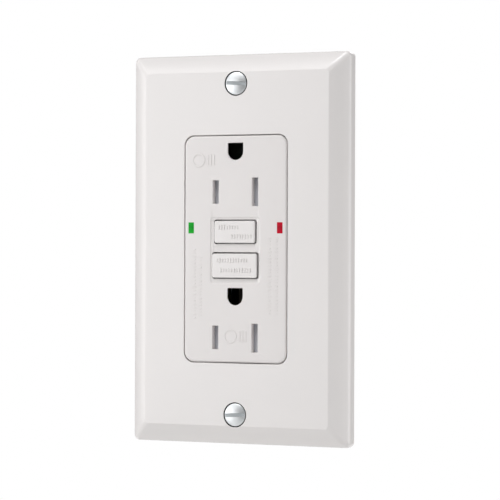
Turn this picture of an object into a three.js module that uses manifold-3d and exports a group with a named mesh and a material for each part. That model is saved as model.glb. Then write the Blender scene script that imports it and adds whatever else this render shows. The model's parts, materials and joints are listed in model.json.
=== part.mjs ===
// One-gang duplex receptacle with ground fault protection, behind a bevelled decorator wall plate.
// Millimetres. +Z is up, +X is right, the device faces -Y, and Y = 0 is the wall surface.
import * as THREE from "three";
import { mergeVertices } from "three/addons/utils/BufferGeometryUtils.js";
import Module from "manifold-3d";

const wasm = await Module();
wasm.setup();

// ---------------------------------------------------------------- driving dimensions

const GAP = 0.3; // clearance kept between neighbouring pieces
const PLATE = { width: 69.85, height: 114.3, radius: 2.5, front: -7, wall: 2.3 };
const BEVEL = [
  // inset from the plate's outline and Y, from the flat front to the side
  [5.5, -7],
  [4, -6.35],
  [2.5, -5.45],
  [1.2, -4.5],
  [0.4, -3.8],
  [0, -3.3],
  [0, 0],
];
const OPENING = { width: 33.3, height: 66.8, radius: 2.9 };
const PLATE_SCREW = { z: 48.42, headRadius: 3.5, shankRadius: 1.5, tip: 5.5 };
const MOUNT_SCREW = { z: 41.67, headRadius: 3.9, shankRadius: 1.65, tip: 22 };

const FACE = { width: 32.8, height: 66.2, radius: 2.9, front: -7.2, wall: 1.8 };
const SKIRT = { width: 42.5, height: 68, radius: 2, front: 0.4, wall: 1.6 };
const SEAM = 7.3; // rear edge of the face cover
const HOUSING = { front: SEAM + GAP, back: 27.5, wall: 1.6 };
const HOUSING_SCREW = { x: 18.2, z: 31, shankRadius: 1.3, bossRadius: 2.6 };

const OUTLETS = [
  { place: "upper", blades: 16.7, ground: 28.5 },
  { place: "lower", blades: -25.9, ground: -13.95 },
];
const BLADE_X = 6.35; // half of the 12.7 mm blade spacing
const SHORT_SLOT = { width: 1.9, height: 6.85 };
const TALL_SLOT = { width: 1.95, height: 8.3 };
const GROUND_HOLE = { radius: 2.47, flat: 2.55 };

const TEST = { width: 13, height: 6.45, z: 5.06, front: -7.6, travel: 1.4 };
const RESET = { width: 14.3, height: 7.07, z: -4.8, front: -7.7 };
const INDICATOR = { x: 14.3, z: 6.2, width: 1.6, height: 2.8 };

const STRAP = { front: 6, thickness: 1.3, endHalfWidth: 8, bend: 35 };
const EAR = { end: 53, wingHalfWidth: 16.5, wingStart: 44.5 };

const TERMINAL = { z: 13.6, y: 17.2, plate: 17.2, thickness: 1, shankRadius: 2.08, headRadius: 3.9 };
const CLAMP = { inner: 13.3, thickness: 1.2, halfHeight: 5.2, halfDepth: 4.2 };
const POCKET = { inner: 11.5, low: 6.1, high: 21.1, front: 10.6, back: 24.6, wall: 1.2 };
const GROUND_SCREW = { x: 11, y: 12.6 };

const SEPARATOR = { front: 11.9, back: 13.3 };
const BOARD = { front: 14.3, back: 15.5, halfWidth: 9.4, top: 27.5, bottom: -32 };
const COIL = { z: -24.4, outer: 7.6, inner: 3.4 };
const SOLENOID = { y: 20.6, start: 3.2, end: 18, flange: 4, tube: 2.2, bore: 1.7 };

const SHUTTER = { front: -5.1, back: -3.4, left: -11.8, right: 9.2, travel: 2.6 };
const PIN_RADIUS = 1.1;

// ---------------------------------------------------------------- solids

/** A closed geometry as a solid: corners merged, slivers at poles dropped, faces turned outwards. */
function solid(geometry) {
  const bare = geometry.index ? geometry.toNonIndexed() : geometry.clone();
  bare.deleteAttribute("normal");
  bare.deleteAttribute("uv");
  const merged = mergeVertices(bare, 1e-4);
  const points = merged.attributes.position;
  const kept = [];
  let volume = 0;
  const [a, b, c] = [new THREE.Vector3(), new THREE.Vector3(), new THREE.Vector3()];
  for (let i = 0; i < merged.index.count; i += 3) {
    const corners = [merged.index.getX(i), merged.index.getX(i + 1), merged.index.getX(i + 2)];
    if (new Set(corners).size < 3) continue;
    a.fromBufferAttribute(points, corners[0]);
    b.fromBufferAttribute(points, corners[1]);
    c.fromBufferAttribute(points, corners[2]);
    volume += a.dot(b.cross(c));
    kept.push(...corners);
  }
  if (volume < 0) kept.reverse();
  const mesh = new wasm.Mesh({
    numProp: 3,
    vertProperties: Float32Array.from(points.array),
    triVerts: Uint32Array.from(kept),
  });
  return new wasm.Manifold(mesh);
}

/** A box between two corners, given as ranges. */
function box(x, y, z) {
  const geometry = new THREE.BoxGeometry(x[1] - x[0], y[1] - y[0], z[1] - z[0]);
  geometry.translate((x[0] + x[1]) / 2, (y[0] + y[1]) / 2, (z[0] + z[1]) / 2);
  return solid(geometry);
}

/** A box on one side of the device: side -1 mirrors the X range. */
function sideBox(side, x, y, z) {
  return side > 0 ? box(x, y, z) : box([-x[1], -x[0]], y, z);
}

/** A box at the upper or lower end: end -1 mirrors the Z range. */
function endBox(end, x, y, z) {
  return end > 0 ? box(x, y, z) : box(x, y, [-z[1], -z[0]]);
}

/** An outline drawn in X and Z, extruded through a range of Y. */
function slab(shape, y) {
  const geometry = new THREE.ExtrudeGeometry(shape, {
    depth: y[1] - y[0],
    bevelEnabled: false,
    curveSegments: 3,
  });
  geometry.rotateX(Math.PI / 2);
  geometry.translate(0, y[1], 0);
  return solid(geometry);
}

function roundedRectangle({ width, height, radius, x = 0, z = 0 }) {
  const [w, h, r] = [width / 2, height / 2, radius];
  const shape = new THREE.Shape();
  shape.moveTo(x - w + r, z - h);
  shape.lineTo(x + w - r, z - h);
  shape.absarc(x + w - r, z - h + r, r, -Math.PI / 2, 0);
  shape.lineTo(x + w, z + h - r);
  shape.absarc(x + w - r, z + h - r, r, 0, Math.PI / 2);
  shape.lineTo(x - w + r, z + h);
  shape.absarc(x - w + r, z + h - r, r, Math.PI / 2, Math.PI);
  shape.lineTo(x - w, z - h + r);
  shape.absarc(x - w + r, z - h + r, r, Math.PI, 1.5 * Math.PI);
  return shape;
}

/** A round rod along "x", "y" or "z" through a point of the other two axes. */
function rod(axis, centre, radius, range, sides = 16) {
  const geometry = new THREE.CylinderGeometry(radius, radius, range[1] - range[0], sides);
  geometry.translate(0, (range[0] + range[1]) / 2, 0);
  return solid(turned(geometry, axis, centre));
}

/** A turned profile of [radius, station] points, from axis to axis, revolved about a line along axis. */
function revolved(axis, centre, profile, sides = 18) {
  const points = profile.map(([radius, station]) => new THREE.Vector2(radius, station));
  return solid(turned(new THREE.LatheGeometry(points, sides), axis, centre));
}

/** Takes geometry made about the Y axis to a line along axis through centre, keeping its stations. */
function turned(geometry, axis, [first, second]) {
  if (axis === "x") return geometry.rotateZ(-Math.PI / 2).translate(0, first, second);
  if (axis === "z") return geometry.rotateX(Math.PI / 2).translate(first, second, 0);
  return geometry.translate(first, 0, second);
}

/** A skin through a stack of rounded rectangles at rising Y, closed at both ends. */
function stacked(sections) {
  const rings = sections.map(({ y, ...outline }) => {
    const points = roundedRectangle(outline).extractPoints(3).shape;
    return points.map((p) => [p.x, y, p.y]);
  });
  const count = rings[0].length;
  const corners = rings.flat(2);
  const faces = [];
  for (let ring = 0; ring + 1 < rings.length; ring++) {
    for (let i = 0; i < count; i++) {
      const [here, next] = [ring * count + i, ring * count + ((i + 1) % count)];
      faces.push(here, here + count, next, next, here + count, next + count);
    }
  }
  const last = (rings.length - 1) * count;
  for (let i = 1; i + 1 < count; i++) {
    faces.push(0, i, i + 1);
    faces.push(last, last + i + 1, last + i);
  }
  const geometry = new THREE.BufferGeometry();
  geometry.setAttribute("position", new THREE.Float32BufferAttribute(corners, 3));
  geometry.setIndex(faces);
  return solid(geometry);
}

/** A helical compression spring along axis "x" or "y", its wire ends closed. */
function spring(axis, centre, coilRadius, wireRadius, range, turns, stepsPerTurn = 8) {
  class Helix extends THREE.Curve {
    getPoint(t, target = new THREE.Vector3()) {
      const angle = 2 * Math.PI * turns * t;
      const station = range[0] + wireRadius + (range[1] - range[0] - 2 * wireRadius) * t;
      return target.set(coilRadius * Math.cos(angle), station, coilRadius * Math.sin(angle));
    }
  }
  const section = new THREE.Shape();
  section.absarc(0, 0, wireRadius, 0, 2 * Math.PI);
  const geometry = new THREE.ExtrudeGeometry(section, {
    steps: Math.round(turns * stepsPerTurn),
    curveSegments: 2,
    extrudePath: new Helix(),
  });
  return solid(turned(geometry, axis, centre));
}

const joined = (...solids) => solids.reduce((whole, next) => whole.add(next));
const cut = (whole, ...tools) => tools.reduce((rest, tool) => rest.subtract(tool), whole);

// ---------------------------------------------------------------- finishes and pieces

const finish = (color, roughness, metalness = 0) => ({ color, roughness, metalness });
const FINISH = {
  whitePlastic: finish(0xf1edea, 0.42),
  greyPlastic: finish(0x8f8f90, 0.5),
  greenLens: finish(0x1c8f3c, 0.2),
  redLens: finish(0xc4202c, 0.2),
  zincSteel: finish(0xc9c9c6, 0.35, 1),
  galvanisedSteel: finish(0xb4b7b9, 0.45, 1),
  springSteel: finish(0x9c9a96, 0.35, 1),
  brass: finish(0xc9a25a, 0.3, 1),
  nickelBrass: finish(0xd3cdbf, 0.3, 1),
  greenSteel: finish(0x2c8a4a, 0.35, 1),
  blackPlastic: finish(0x1d1d1f, 0.5),
  fibre: finish(0xb98d5c, 0.85),
  board: finish(0x1f6b3c, 0.5),
  copper: finish(0xb5652f, 0.3, 1),
  ferrite: finish(0x39393b, 0.6),
  blueEpoxy: finish(0x2a55a8, 0.4),
  ledGreen: finish(0x46b35c, 0.25),
  ledRed: finish(0xd8383c, 0.25),
};

const gfciOutlet = new THREE.Group();

/** Adds one named sub-part made from a solid. */
function piece(name, shape, { color, roughness, metalness }) {
  const mesh = shape.getMesh();
  const corners = new Float32Array(mesh.triVerts.length * 3);
  for (let i = 0; i < mesh.triVerts.length; i++) {
    const start = mesh.triVerts[i] * mesh.numProp;
    corners.set(mesh.vertProperties.subarray(start, start + 3), i * 3);
  }
  const geometry = new THREE.BufferGeometry();
  geometry.setAttribute("position", new THREE.BufferAttribute(corners, 3));
  geometry.computeVertexNormals();
  const material = new THREE.MeshStandardMaterial({ color, roughness, metalness });
  const part = new THREE.Mesh(geometry, material);
  part.name = name;
  gfciOutlet.add(part);
}

// ---------------------------------------------------------------- wall plate and its screws

function wallPlate() {
  const outer = stacked(
    BEVEL.map(([inset, y]) => ({
      width: PLATE.width - 2 * inset,
      height: PLATE.height - 2 * inset,
      radius: PLATE.radius - inset * 0.25,
      y,
    })),
  );
  const creaseInset = 2 * BEVEL[0][0] + 3;
  const wall = 2 * PLATE.wall;
  const hollow = stacked([
    {
      width: PLATE.width - creaseInset,
      height: PLATE.height - creaseInset,
      radius: 1,
      y: PLATE.front + PLATE.wall,
    },
    { width: PLATE.width - wall, height: PLATE.height - wall, radius: 1, y: -2.4 },
    { width: PLATE.width - wall, height: PLATE.height - wall, radius: 1, y: 1 },
  ]);
  let plate = cut(outer, hollow);
  const { z, headRadius, shankRadius } = PLATE_SCREW;
  for (const end of [1, -1]) {
    plate = plate.add(rod("y", [0, end * z], 4.6, [-5.2, -4.2]));
  }
  for (const end of [1, -1]) {
    const seat = [
      [0, -8],
      [headRadius + GAP, -8],
      [headRadius + GAP, -6.75],
      [shankRadius + GAP, -4.6],
      [shankRadius + GAP, 0],
      [0, 0],
    ];
    plate = plate.subtract(revolved("y", [0, end * z], seat));
  }
  piece("wall_plate", cut(plate, slab(roundedRectangle(OPENING), [-8, 1])), FINISH.whitePlastic);
}

function plateScrew(place, end, tilt) {
  const { z, headRadius, shankRadius, tip } = PLATE_SCREW;
  const profile = [
    [0, -7.65],
    [1.4, -7.58],
    [2.6, -7.32],
    [headRadius, -6.85],
    [headRadius, -6.6],
    [shankRadius, -4.5],
    [shankRadius, tip - 1],
    [0.6, tip],
    [0, tip],
  ];
  const slot = new THREE.BoxGeometry(9, 1.1, 1.1);
  slot.rotateY(tilt);
  slot.translate(0, -7.45, end * z);
  piece(`plate_screw_${place}`, cut(revolved("y", [0, end * z], profile), solid(slot)), FINISH.zincSteel);
}

// ---------------------------------------------------------------- face cover and what shows on it

function groundOutline(z, grow = 0) {
  const { radius, flat } = GROUND_HOLE;
  const r = radius + grow;
  const shape = new THREE.Shape();
  shape.moveTo(r, z);
  shape.lineTo(r, z + flat + grow);
  shape.lineTo(-r, z + flat + grow);
  shape.lineTo(-r, z);
  shape.absarc(0, z, r, Math.PI, 2 * Math.PI);
  return shape;
}

function housingScrewPlaces() {
  const { x, z } = HOUSING_SCREW;
  return [
    [-x, z],
    [x, z],
    [-x, -z],
    [x, -z],
  ];
}

function faceCover() {
  const skirtWall = 2 * SKIRT.wall;
  const faceWall = 2 * FACE.wall;
  let cover = joined(
    slab(roundedRectangle(FACE), [FACE.front, 1]),
    slab(roundedRectangle(SKIRT), [SKIRT.front, SEAM]),
  );
  cover = cut(
    cover,
    slab(
      roundedRectangle({ width: FACE.width - faceWall, height: FACE.height - faceWall, radius: 1.4 }),
      [FACE.front + FACE.wall, 3],
    ),
    slab(
      roundedRectangle({ width: SKIRT.width - skirtWall, height: SKIRT.height - skirtWall, radius: 1 }),
      [2.2, 8],
    ),
  );
  for (const place of housingScrewPlaces()) {
    cover = cover.add(rod("y", place, HOUSING_SCREW.bossRadius, [1, SEAM], 12));
  }
  for (const place of housingScrewPlaces()) {
    cover = cover.subtract(rod("y", place, HOUSING_SCREW.shankRadius + GAP, [2, 8], 12));
  }
  for (const end of [1, -1]) {
    const half = STRAP.endHalfWidth + GAP;
    cover = cover.subtract(endBox(end, [-half, half], [STRAP.front - GAP, 8], [31, 35]));
  }
  const through = [-8, -5];
  for (const { blades, ground } of OUTLETS) {
    for (const [x, { width, height }] of [[-BLADE_X, SHORT_SLOT], [BLADE_X, TALL_SLOT]]) {
      const acrossX = [x - width / 2, x + width / 2];
      cover = cover.subtract(box(acrossX, through, [blades - height / 2, blades + height / 2]));
    }
    cover = cover.subtract(slab(groundOutline(ground), through));
  }
  for (const { width, height, z } of [TEST, RESET]) {
    const hole = { width: width + 2 * GAP, height: height + 2 * GAP, radius: 0.6, z };
    cover = cover.subtract(slab(roundedRectangle(hole), through));
  }
  for (const side of [1, -1]) {
    const x = [INDICATOR.x - INDICATOR.width / 2 - GAP / 2, INDICATOR.x + INDICATOR.width / 2 + GAP / 2];
    const z = [INDICATOR.z - INDICATOR.height / 2 - GAP / 2, INDICATOR.z + INDICATOR.height / 2 + GAP / 2];
    cover = cover.subtract(sideBox(side, x, [-8, 3], z));
  }
  piece("face_cover", cover, FINISH.whitePlastic);
}

function indicators() {
  const { x, z, width, height } = INDICATOR;
  const lights = [
    { colour: "green", side: -1, lens: FINISH.greenLens, led: FINISH.ledGreen },
    { colour: "red", side: 1, lens: FINISH.redLens, led: FINISH.ledRed },
  ];
  for (const { colour, side, lens, led } of lights) {
    const pipe = sideBox(
      side,
      [x - width / 2, x + width / 2],
      [FACE.front - 0.05, 3.5],
      [z - height / 2, z + height / 2],
    );
    piece(`indicator_lens_${colour}`, pipe, lens);
    const dome = [
      [0, 3.9],
      [0.9, 4.2],
      [1.35, 4.9],
      [1.35, 7.4],
      [0, 7.4],
    ];
    piece(`indicator_led_${colour}`, revolved("y", [side * x, z], dome, 10), led);
  }
}

function testButton() {
  const { width, height, z, front } = TEST;
  const cap = slab(roundedRectangle({ width, height, radius: 0.6, z }), [front, -3.4]);
  const flange = box([-7.6, 7.6], [-4.9, -3.4], [1.2, 8.9]);
  const stem = box([-1.2, 1.2], [-3.5, -1.3], [z - 1, z + 1]);
  piece("test_button", joined(cap, flange, stem), FINISH.whitePlastic);
  const leaf = box([-9.8, 1.5], [-1, -0.7], [z - 1.1, z + 1.1]);
  const root = box([-10.1, -9.8 + 0.01], [-1, 0.6], [z - 1.1, z + 1.1]);
  piece("test_blade", joined(leaf, root), FINISH.springSteel);
}

function resetButton() {
  const { width, height, z, front } = RESET;
  const cap = slab(roundedRectangle({ width, height, radius: 0.6, z }), [front, -1.9]);
  const flange = box([-8, 8], [-3.1, -1.9], [z - 4.3, z + 4.3]);
  piece("reset_button", joined(cap, flange), FINISH.whitePlastic);
  const pin = [
    [0, -1.6],
    [PIN_RADIUS, -1.6],
    [PIN_RADIUS, 21],
    [1.7, 21.2],
    [1.7, 21.6],
    [1.2, 22],
    [0, 22],
  ];
  piece("reset_pin", revolved("y", [0, z], pin, 18), FINISH.springSteel);
  piece("reset_spring", spring("y", [0, z], 2.4, 0.3, [-1.5, 11.5], 6), FINISH.springSteel);
}

/** A shutter plate whose windows stand clear of the slots until it is pushed sideways. */
function shutter({ place, blades }) {
  const { front, back, left, right, travel } = SHUTTER;
  const z = [blades - 4.4, blades + 4.4];
  let plate = box([left, right], [front, back], [blades - 4.9, blades + 4.9]);
  for (const x of [-BLADE_X, BLADE_X]) {
    const middle = x - travel;
    plate = plate.subtract(box([middle - 1.15, middle + 1.15], [front - 1, back + 1], z));
  }
  piece(`shutter_${place}`, plate, FINISH.greyPlastic);
  const wound = spring("x", [(front + back) / 2, blades], 0.65, 0.12, [right + 0.3, 14.3], 5, 7);
  piece(`shutter_spring_${place}`, wound, FINISH.springSteel);
}

// ---------------------------------------------------------------- mounting strap and its screws

function strap() {
  const y = [STRAP.front, STRAP.front + STRAP.thickness];
  const half = STRAP.endHalfWidth;
  const bend = STRAP.bend;
  const spine = [
    { halfWidth: half, z: [22.3, bend + STRAP.thickness] },
    { halfWidth: 3.5, z: [11, 22.4] },
    { halfWidth: 10.5, z: [-11, 11.1] },
    { halfWidth: 5, z: [-19.5, -10.9] },
    { halfWidth: 3.5, z: [-31.1, -19.4] },
    { halfWidth: half, z: [-bend - STRAP.thickness, -31] },
  ];
  let body = joined(...spine.map(({ halfWidth, z }) => box([-halfWidth, halfWidth], y, z)));
  body = body.subtract(box([-8.3, 8.3], [5, 8], [-9.3, 9.5]));
  for (const end of [1, -1]) {
    const ear = joined(
      endBox(end, [-half, half], [-STRAP.thickness, y[1]], [bend, bend + STRAP.thickness]),
      endBox(end, [-half, half], [-STRAP.thickness, 0], [bend, 45]),
      slab(
        roundedRectangle({
          width: 2 * EAR.wingHalfWidth,
          height: EAR.end - EAR.wingStart,
          radius: 2,
          z: (end * (EAR.end + EAR.wingStart)) / 2,
        }),
        [-STRAP.thickness, 0],
      ),
    );
    body = body.add(ear);
    const slot = roundedRectangle({ width: 6.8, height: 4.2, radius: 2.05, z: end * MOUNT_SCREW.z });
    body = cut(
      body,
      slab(slot, [-2, 1]),
      rod("y", [0, end * PLATE_SCREW.z], PLATE_SCREW.shankRadius + GAP, [-2, 1]),
    );
    for (const side of [1, -1]) {
      body = body.subtract(rod("y", [side * 11.5, end * (EAR.wingStart + 4.2)], 1.6, [-2, 1], 10));
      const score = sideBox(side, [half + 0.4, half + 0.8], [-0.45, 1], [-1, 1]);
      const middle = (end * (EAR.end + EAR.wingStart)) / 2;
      body = body.subtract(score.scale([1, 1, EAR.end - EAR.wingStart]).translate([0, 0, middle]));
    }
  }
  const { x, y: screwY } = GROUND_SCREW;
  const tab = box([half - 0.5, 15], [0.3, screwY + 3.8], [bend, bend + STRAP.thickness]);
  body = body.add(tab);
  body = body.subtract(rod("z", [x, screwY], TERMINAL.shankRadius + GAP, [bend - 1, bend + 2]));
  for (const { ground } of OUTLETS) {
    body = body.subtract(rod("y", [0, ground], 3.1, [5, 8]));
  }
  piece("mounting_strap", body, FINISH.galvanisedSteel);
}

function mountingScrew(place, end) {
  const { z, headRadius, shankRadius, tip } = MOUNT_SCREW;
  const profile = [
    [0, -3.9],
    [2.6, -3.8],
    [headRadius - 0.4, -3.3],
    [headRadius, -2.5],
    [headRadius, -1.6],
    [shankRadius, -1.6],
    [shankRadius, tip - 1.2],
    [0.7, tip],
    [0, tip],
  ];
  const head = revolved("y", [0, end * z], profile);
  const slot = box([-5, 5], [-4.5, -2.9], [end * z - 0.5, end * z + 0.5]);
  piece(`mounting_screw_${place}`, cut(head, slot), FINISH.zincSteel);
  const washer = slab(roundedRectangle({ width: 9, height: 9, radius: 1, z: end * z }), [0.3, 1.1]);
  const hole = rod("y", [0, end * z], shankRadius + GAP, [0, 2]);
  piece(`screw_retainer_${place}`, cut(washer, hole), FINISH.fibre);
}

// ---------------------------------------------------------------- rear housing and its screws

function rearHousing() {
  const outline = roundedRectangle({ ...SKIRT, radius: 2.5 });
  const room = { width: SKIRT.width - 2 * HOUSING.wall, height: SKIRT.height - 2 * HOUSING.wall, radius: 1.2 };
  let housing = slab(outline, [HOUSING.front, HOUSING.back]);
  housing = housing.subtract(slab(roundedRectangle(room), [7, HOUSING.back - HOUSING.wall]));
  const { inner, low, high, front, back, wall } = POCKET;
  const edge = SKIRT.width / 2;
  const quarters = [1, -1].flatMap((side) => [1, -1].map((end) => ({ side, end })));
  const pocketZ = (end, from, to) => (end > 0 ? [from, to] : [-to, -from]);
  for (const { side, end } of quarters) {
    const z = pocketZ(end, low - wall, high + wall);
    housing = housing.add(sideBox(side, [inner - wall, edge], [front - wall, back + wall + 0.2], z));
  }
  const { x, y } = GROUND_SCREW;
  housing = housing.add(box([x - 5.4, x + 5.2], [y - 4.6, y + 4.6], [28.2, SKIRT.height / 2]));
  for (const place of housingScrewPlaces()) {
    housing = housing.add(rod("y", place, HOUSING_SCREW.bossRadius, [HOUSING.front, 26], 12));
  }
  for (const { side, end } of quarters) {
    const { plate, thickness, z } = TERMINAL;
    const room_z = pocketZ(end, low, high);
    housing = housing.subtract(sideBox(side, [inner, edge + 1], [front, back], room_z));
    const legZ = pocketZ(end, z - 4.9, z + 2.7);
    const legX = [plate - GAP, plate + thickness + GAP];
    housing = housing.subtract(sideBox(side, legX, [front - wall - 1, front + 1], legZ));
    for (const shift of [-4, 4]) {
      const wire = rod("y", [side * 15.85, end * (z + shift)], 1.5, [24, 28], 10);
      housing = housing.subtract(wire);
    }
  }
  housing = housing.subtract(box([x - 4.2, x + 4], [y - 3.4, y + 3.4], [29.4, 35]));
  for (const place of housingScrewPlaces()) {
    housing = cut(
      housing,
      rod("y", place, HOUSING_SCREW.shankRadius + GAP, [7, 27], 12),
      rod("y", place, 2.8, [25.3, 28], 12),
    );
  }
  piece("rear_housing", housing, FINISH.whitePlastic);
}

function housingScrews() {
  housingScrewPlaces().forEach((place, index) => {
    const profile = [
      [0, 3.2],
      [HOUSING_SCREW.shankRadius * 0.4, 3.2],
      [HOUSING_SCREW.shankRadius, 4.6],
      [HOUSING_SCREW.shankRadius, 25.6],
      [2.4, 25.6],
      [2.4, 26.6],
      [1.7, 27.2],
      [0, 27.3],
    ];
    const [x, z] = place;
    const screw = cut(
      revolved("y", place, profile, 12),
      box([x - 1.4, x + 1.4], [26.3, 28], [z - 0.35, z + 0.35]),
      box([x - 0.35, x + 0.35], [26.3, 28], [z - 1.4, z + 1.4]),
    );
    piece(`housing_screw_${index + 1}`, screw, FINISH.zincSteel);
  });
}

// ---------------------------------------------------------------- current-carrying pieces

/** Two pairs of leaves that grip the plug's blades, joined by the strip that feeds them. */
function receptacleContact(name, side, metal) {
  const [leafIn, leafOut, thickness] = [1.4, 0.85, 0.55];
  const outer = [BLADE_X + leafOut, BLADE_X + leafOut + thickness];
  const inner = [BLADE_X - leafIn, BLADE_X - leafOut];
  const bridgeX = [inner[0], outer[1]];
  const y = [-2.4, 5.2];
  const contact = joined(
    sideBox(side, outer, [1, 5.2], [-31, 22]),
    sideBox(side, outer, y, [12.2, 22]),
    sideBox(side, inner, y, [12.2, 22]),
    sideBox(side, bridgeX, y, [21.4, 22]),
    sideBox(side, outer, y, [-31, -21.4]),
    sideBox(side, inner, y, [-31, -21.4]),
    sideBox(side, bridgeX, y, [-31, -30.4]),
    sideBox(side, [outer[0], TERMINAL.plate + 1], [4.2, 5], [10.2, 14.6]),
    sideBox(side, outer, [5, 15.9], [7, 8.6]),
  );
  piece(name, contact, metal);
}

function terminalPlates(pole, side, metal) {
  const x = [TERMINAL.plate, TERMINAL.plate + TERMINAL.thickness];
  const hole = (end) =>
    rod("x", [TERMINAL.y, end * TERMINAL.z], TERMINAL.shankRadius + GAP, [side * 19, side * 16].sort((a, b) => a - b));
  const load = joined(
    sideBox(side, x, [11, 23.9], [7.5, 19.7]),
    sideBox(side, x, [5.3, 11.1], [9, 16]),
  );
  piece(`load_terminal_${pole}`, cut(load, hole(1)), metal);
  const busX = [0.9, 2.1];
  const line = joined(
    sideBox(side, x, [11, 23.9], [-19.7, -7.5]),
    sideBox(side, x, [8, 11.1], [-16, -9]),
    sideBox(side, x, [8, 9], [-20.8, -9]),
    sideBox(side, [busX[0], x[1]], [8, 9], [-20.8, -18.8]),
    sideBox(side, busX, [8, 9], [-23.6, -18.8]),
    sideBox(side, busX, [8, 24.6], [-23.6, -22]),
  );
  piece(`line_terminal_${pole}`, cut(line, hole(-1)), metal);
}

/** A slotted binding screw and the pressure plate that it draws outwards against the terminal. */
function terminalScrew(name, clampName, side, end, screwMetal) {
  const { y, z, plate, thickness, shankRadius, headRadius } = TERMINAL;
  const seat = plate + thickness + GAP;
  const profile = [
    [0, 12.2],
    [1.2, 12.2],
    [shankRadius, 13],
    [shankRadius, seat],
    [headRadius, seat],
    [headRadius, seat + 1.5],
    [headRadius - 0.7, seat + 2.2],
    [0, seat + 2.3],
  ].map(([radius, station]) => [radius, side * station]);
  const slot = sideBox(side, [seat + 1.3, seat + 3], [y - 5, y + 5], [end * z - 0.55, end * z + 0.55]);
  piece(name, cut(revolved("x", [y, end * z], profile), slot), screwMetal);
  const { inner, halfHeight, halfDepth } = CLAMP;
  const clamp = sideBox(
    side,
    [inner, inner + CLAMP.thickness],
    [y - halfDepth, y + halfDepth],
    [end * z - halfHeight, end * z + halfHeight],
  );
  const ends = side > 0 ? [12, 16] : [-16, -12];
  piece(clampName, cut(clamp, rod("x", [y, end * z], shankRadius + GAP, ends)), FINISH.zincSteel);
}

function groundScrew() {
  const { x, y } = GROUND_SCREW;
  const seat = STRAP.bend + STRAP.thickness + GAP;
  const r = TERMINAL.shankRadius;
  const shank = revolved("z", [x, y], [
    [0, 29.9],
    [1.2, 29.9],
    [r, 30.7],
    [r, seat + 0.5],
    [0, seat + 0.5],
  ]);
  const head = rod("z", [x, y], 3.6, [seat, seat + 2.4], 6);
  const slot = box([x - 5, x + 5], [y - 0.5, y + 0.5], [seat + 1.4, seat + 3]);
  piece("ground_screw", cut(joined(shank, head), slot), FINISH.greenSteel);
  const clamp = box([x - 3.8, x + 3.6], [y - 3, y + 3], [31.1, 32.3]);
  piece("ground_clamp", cut(clamp, rod("z", [x, y], r + GAP, [31, 33])), FINISH.zincSteel);
}

/** A spring clip behind the strap that grips the plug's ground pin. */
function groundClip({ place, ground }) {
  const base = cut(
    box([-4.6, 4.6], [7.6, 8.2], [ground - 3.2, ground + 3.2]),
    rod("y", [0, ground], 2.8, [7, 9]),
  );
  const leaves = [1, -1].map((side) =>
    sideBox(side, [2.8, 3.4], [8.1, 11.5], [ground - 2, ground + 2]),
  );
  piece(`ground_clip_${place}`, joined(base, ...leaves), FINISH.brass);
}

// ---------------------------------------------------------------- inner frame and electronics

function innerFrame() {
  const outline = { width: 38.7, height: 64.2, radius: 1 };
  let frame = slab(roundedRectangle(outline), [SEPARATOR.front, SEPARATOR.back]);
  const { inner, wall, low, high } = POCKET;
  const y = [11, 14];
  for (const side of [1, -1]) {
    for (const end of [1, -1]) {
      const z = end > 0 ? [low - wall - GAP, high + wall + GAP] : [-high - wall - GAP, -low + wall + GAP];
      frame = frame.subtract(sideBox(side, [inner - wall - GAP, 22], y, z));
      frame = frame.subtract(rod("y", [side * HOUSING_SCREW.x, end * HOUSING_SCREW.z], 2.9, y));
    }
    frame = frame.subtract(sideBox(side, [6.9, 8.1], y, [6.6, 9]));
  }
  frame = cut(
    frame,
    box([5.3, 16.5], y, [27.9, 35]),
    box([-2.5, 2.5], y, [-24, -21.6]),
    rod("y", [0, RESET.z], PIN_RADIUS + GAP, y),
  );
  for (const { ground } of OUTLETS) {
    frame = frame.subtract(rod("y", [0, ground], 2.9, y));
  }
  piece("inner_frame", frame, FINISH.blackPlastic);
}

function circuitBoard() {
  const y = [BOARD.front, BOARD.back];
  let board = box([-BOARD.halfWidth, BOARD.halfWidth], y, [BOARD.bottom, BOARD.top]);
  board = cut(
    board,
    box([-2.5, 2.5], [14, 16], [-24, -21.6]),
    rod("y", [0, RESET.z], PIN_RADIUS + 0.6, [14, 16]),
  );
  for (const side of [1, -1]) {
    board = board.subtract(sideBox(side, [6.9, 8.1], [14, 16], [6.6, 9]));
  }
  piece("circuit_board", board, FINISH.board);
}

function sensingCoils() {
  const coils = [
    { name: "fault_sensing_coil", y: [16.2, 19.6] },
    { name: "neutral_sensing_coil", y: [20, 23.4] },
  ];
  for (const { name, y } of coils) {
    const rim = 0.6;
    const ring = [
      [COIL.inner, y[0] + rim],
      [COIL.inner + rim, y[0]],
      [COIL.outer - rim, y[0]],
      [COIL.outer, y[0] + rim],
      [COIL.outer, y[1] - rim],
      [COIL.outer - rim, y[1]],
      [COIL.inner + rim, y[1]],
      [COIL.inner, y[1] - rim],
      [COIL.inner, y[0] + rim],
    ];
    piece(name, revolved("y", [0, COIL.z], ring, 20), FINISH.copper);
  }
}

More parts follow.
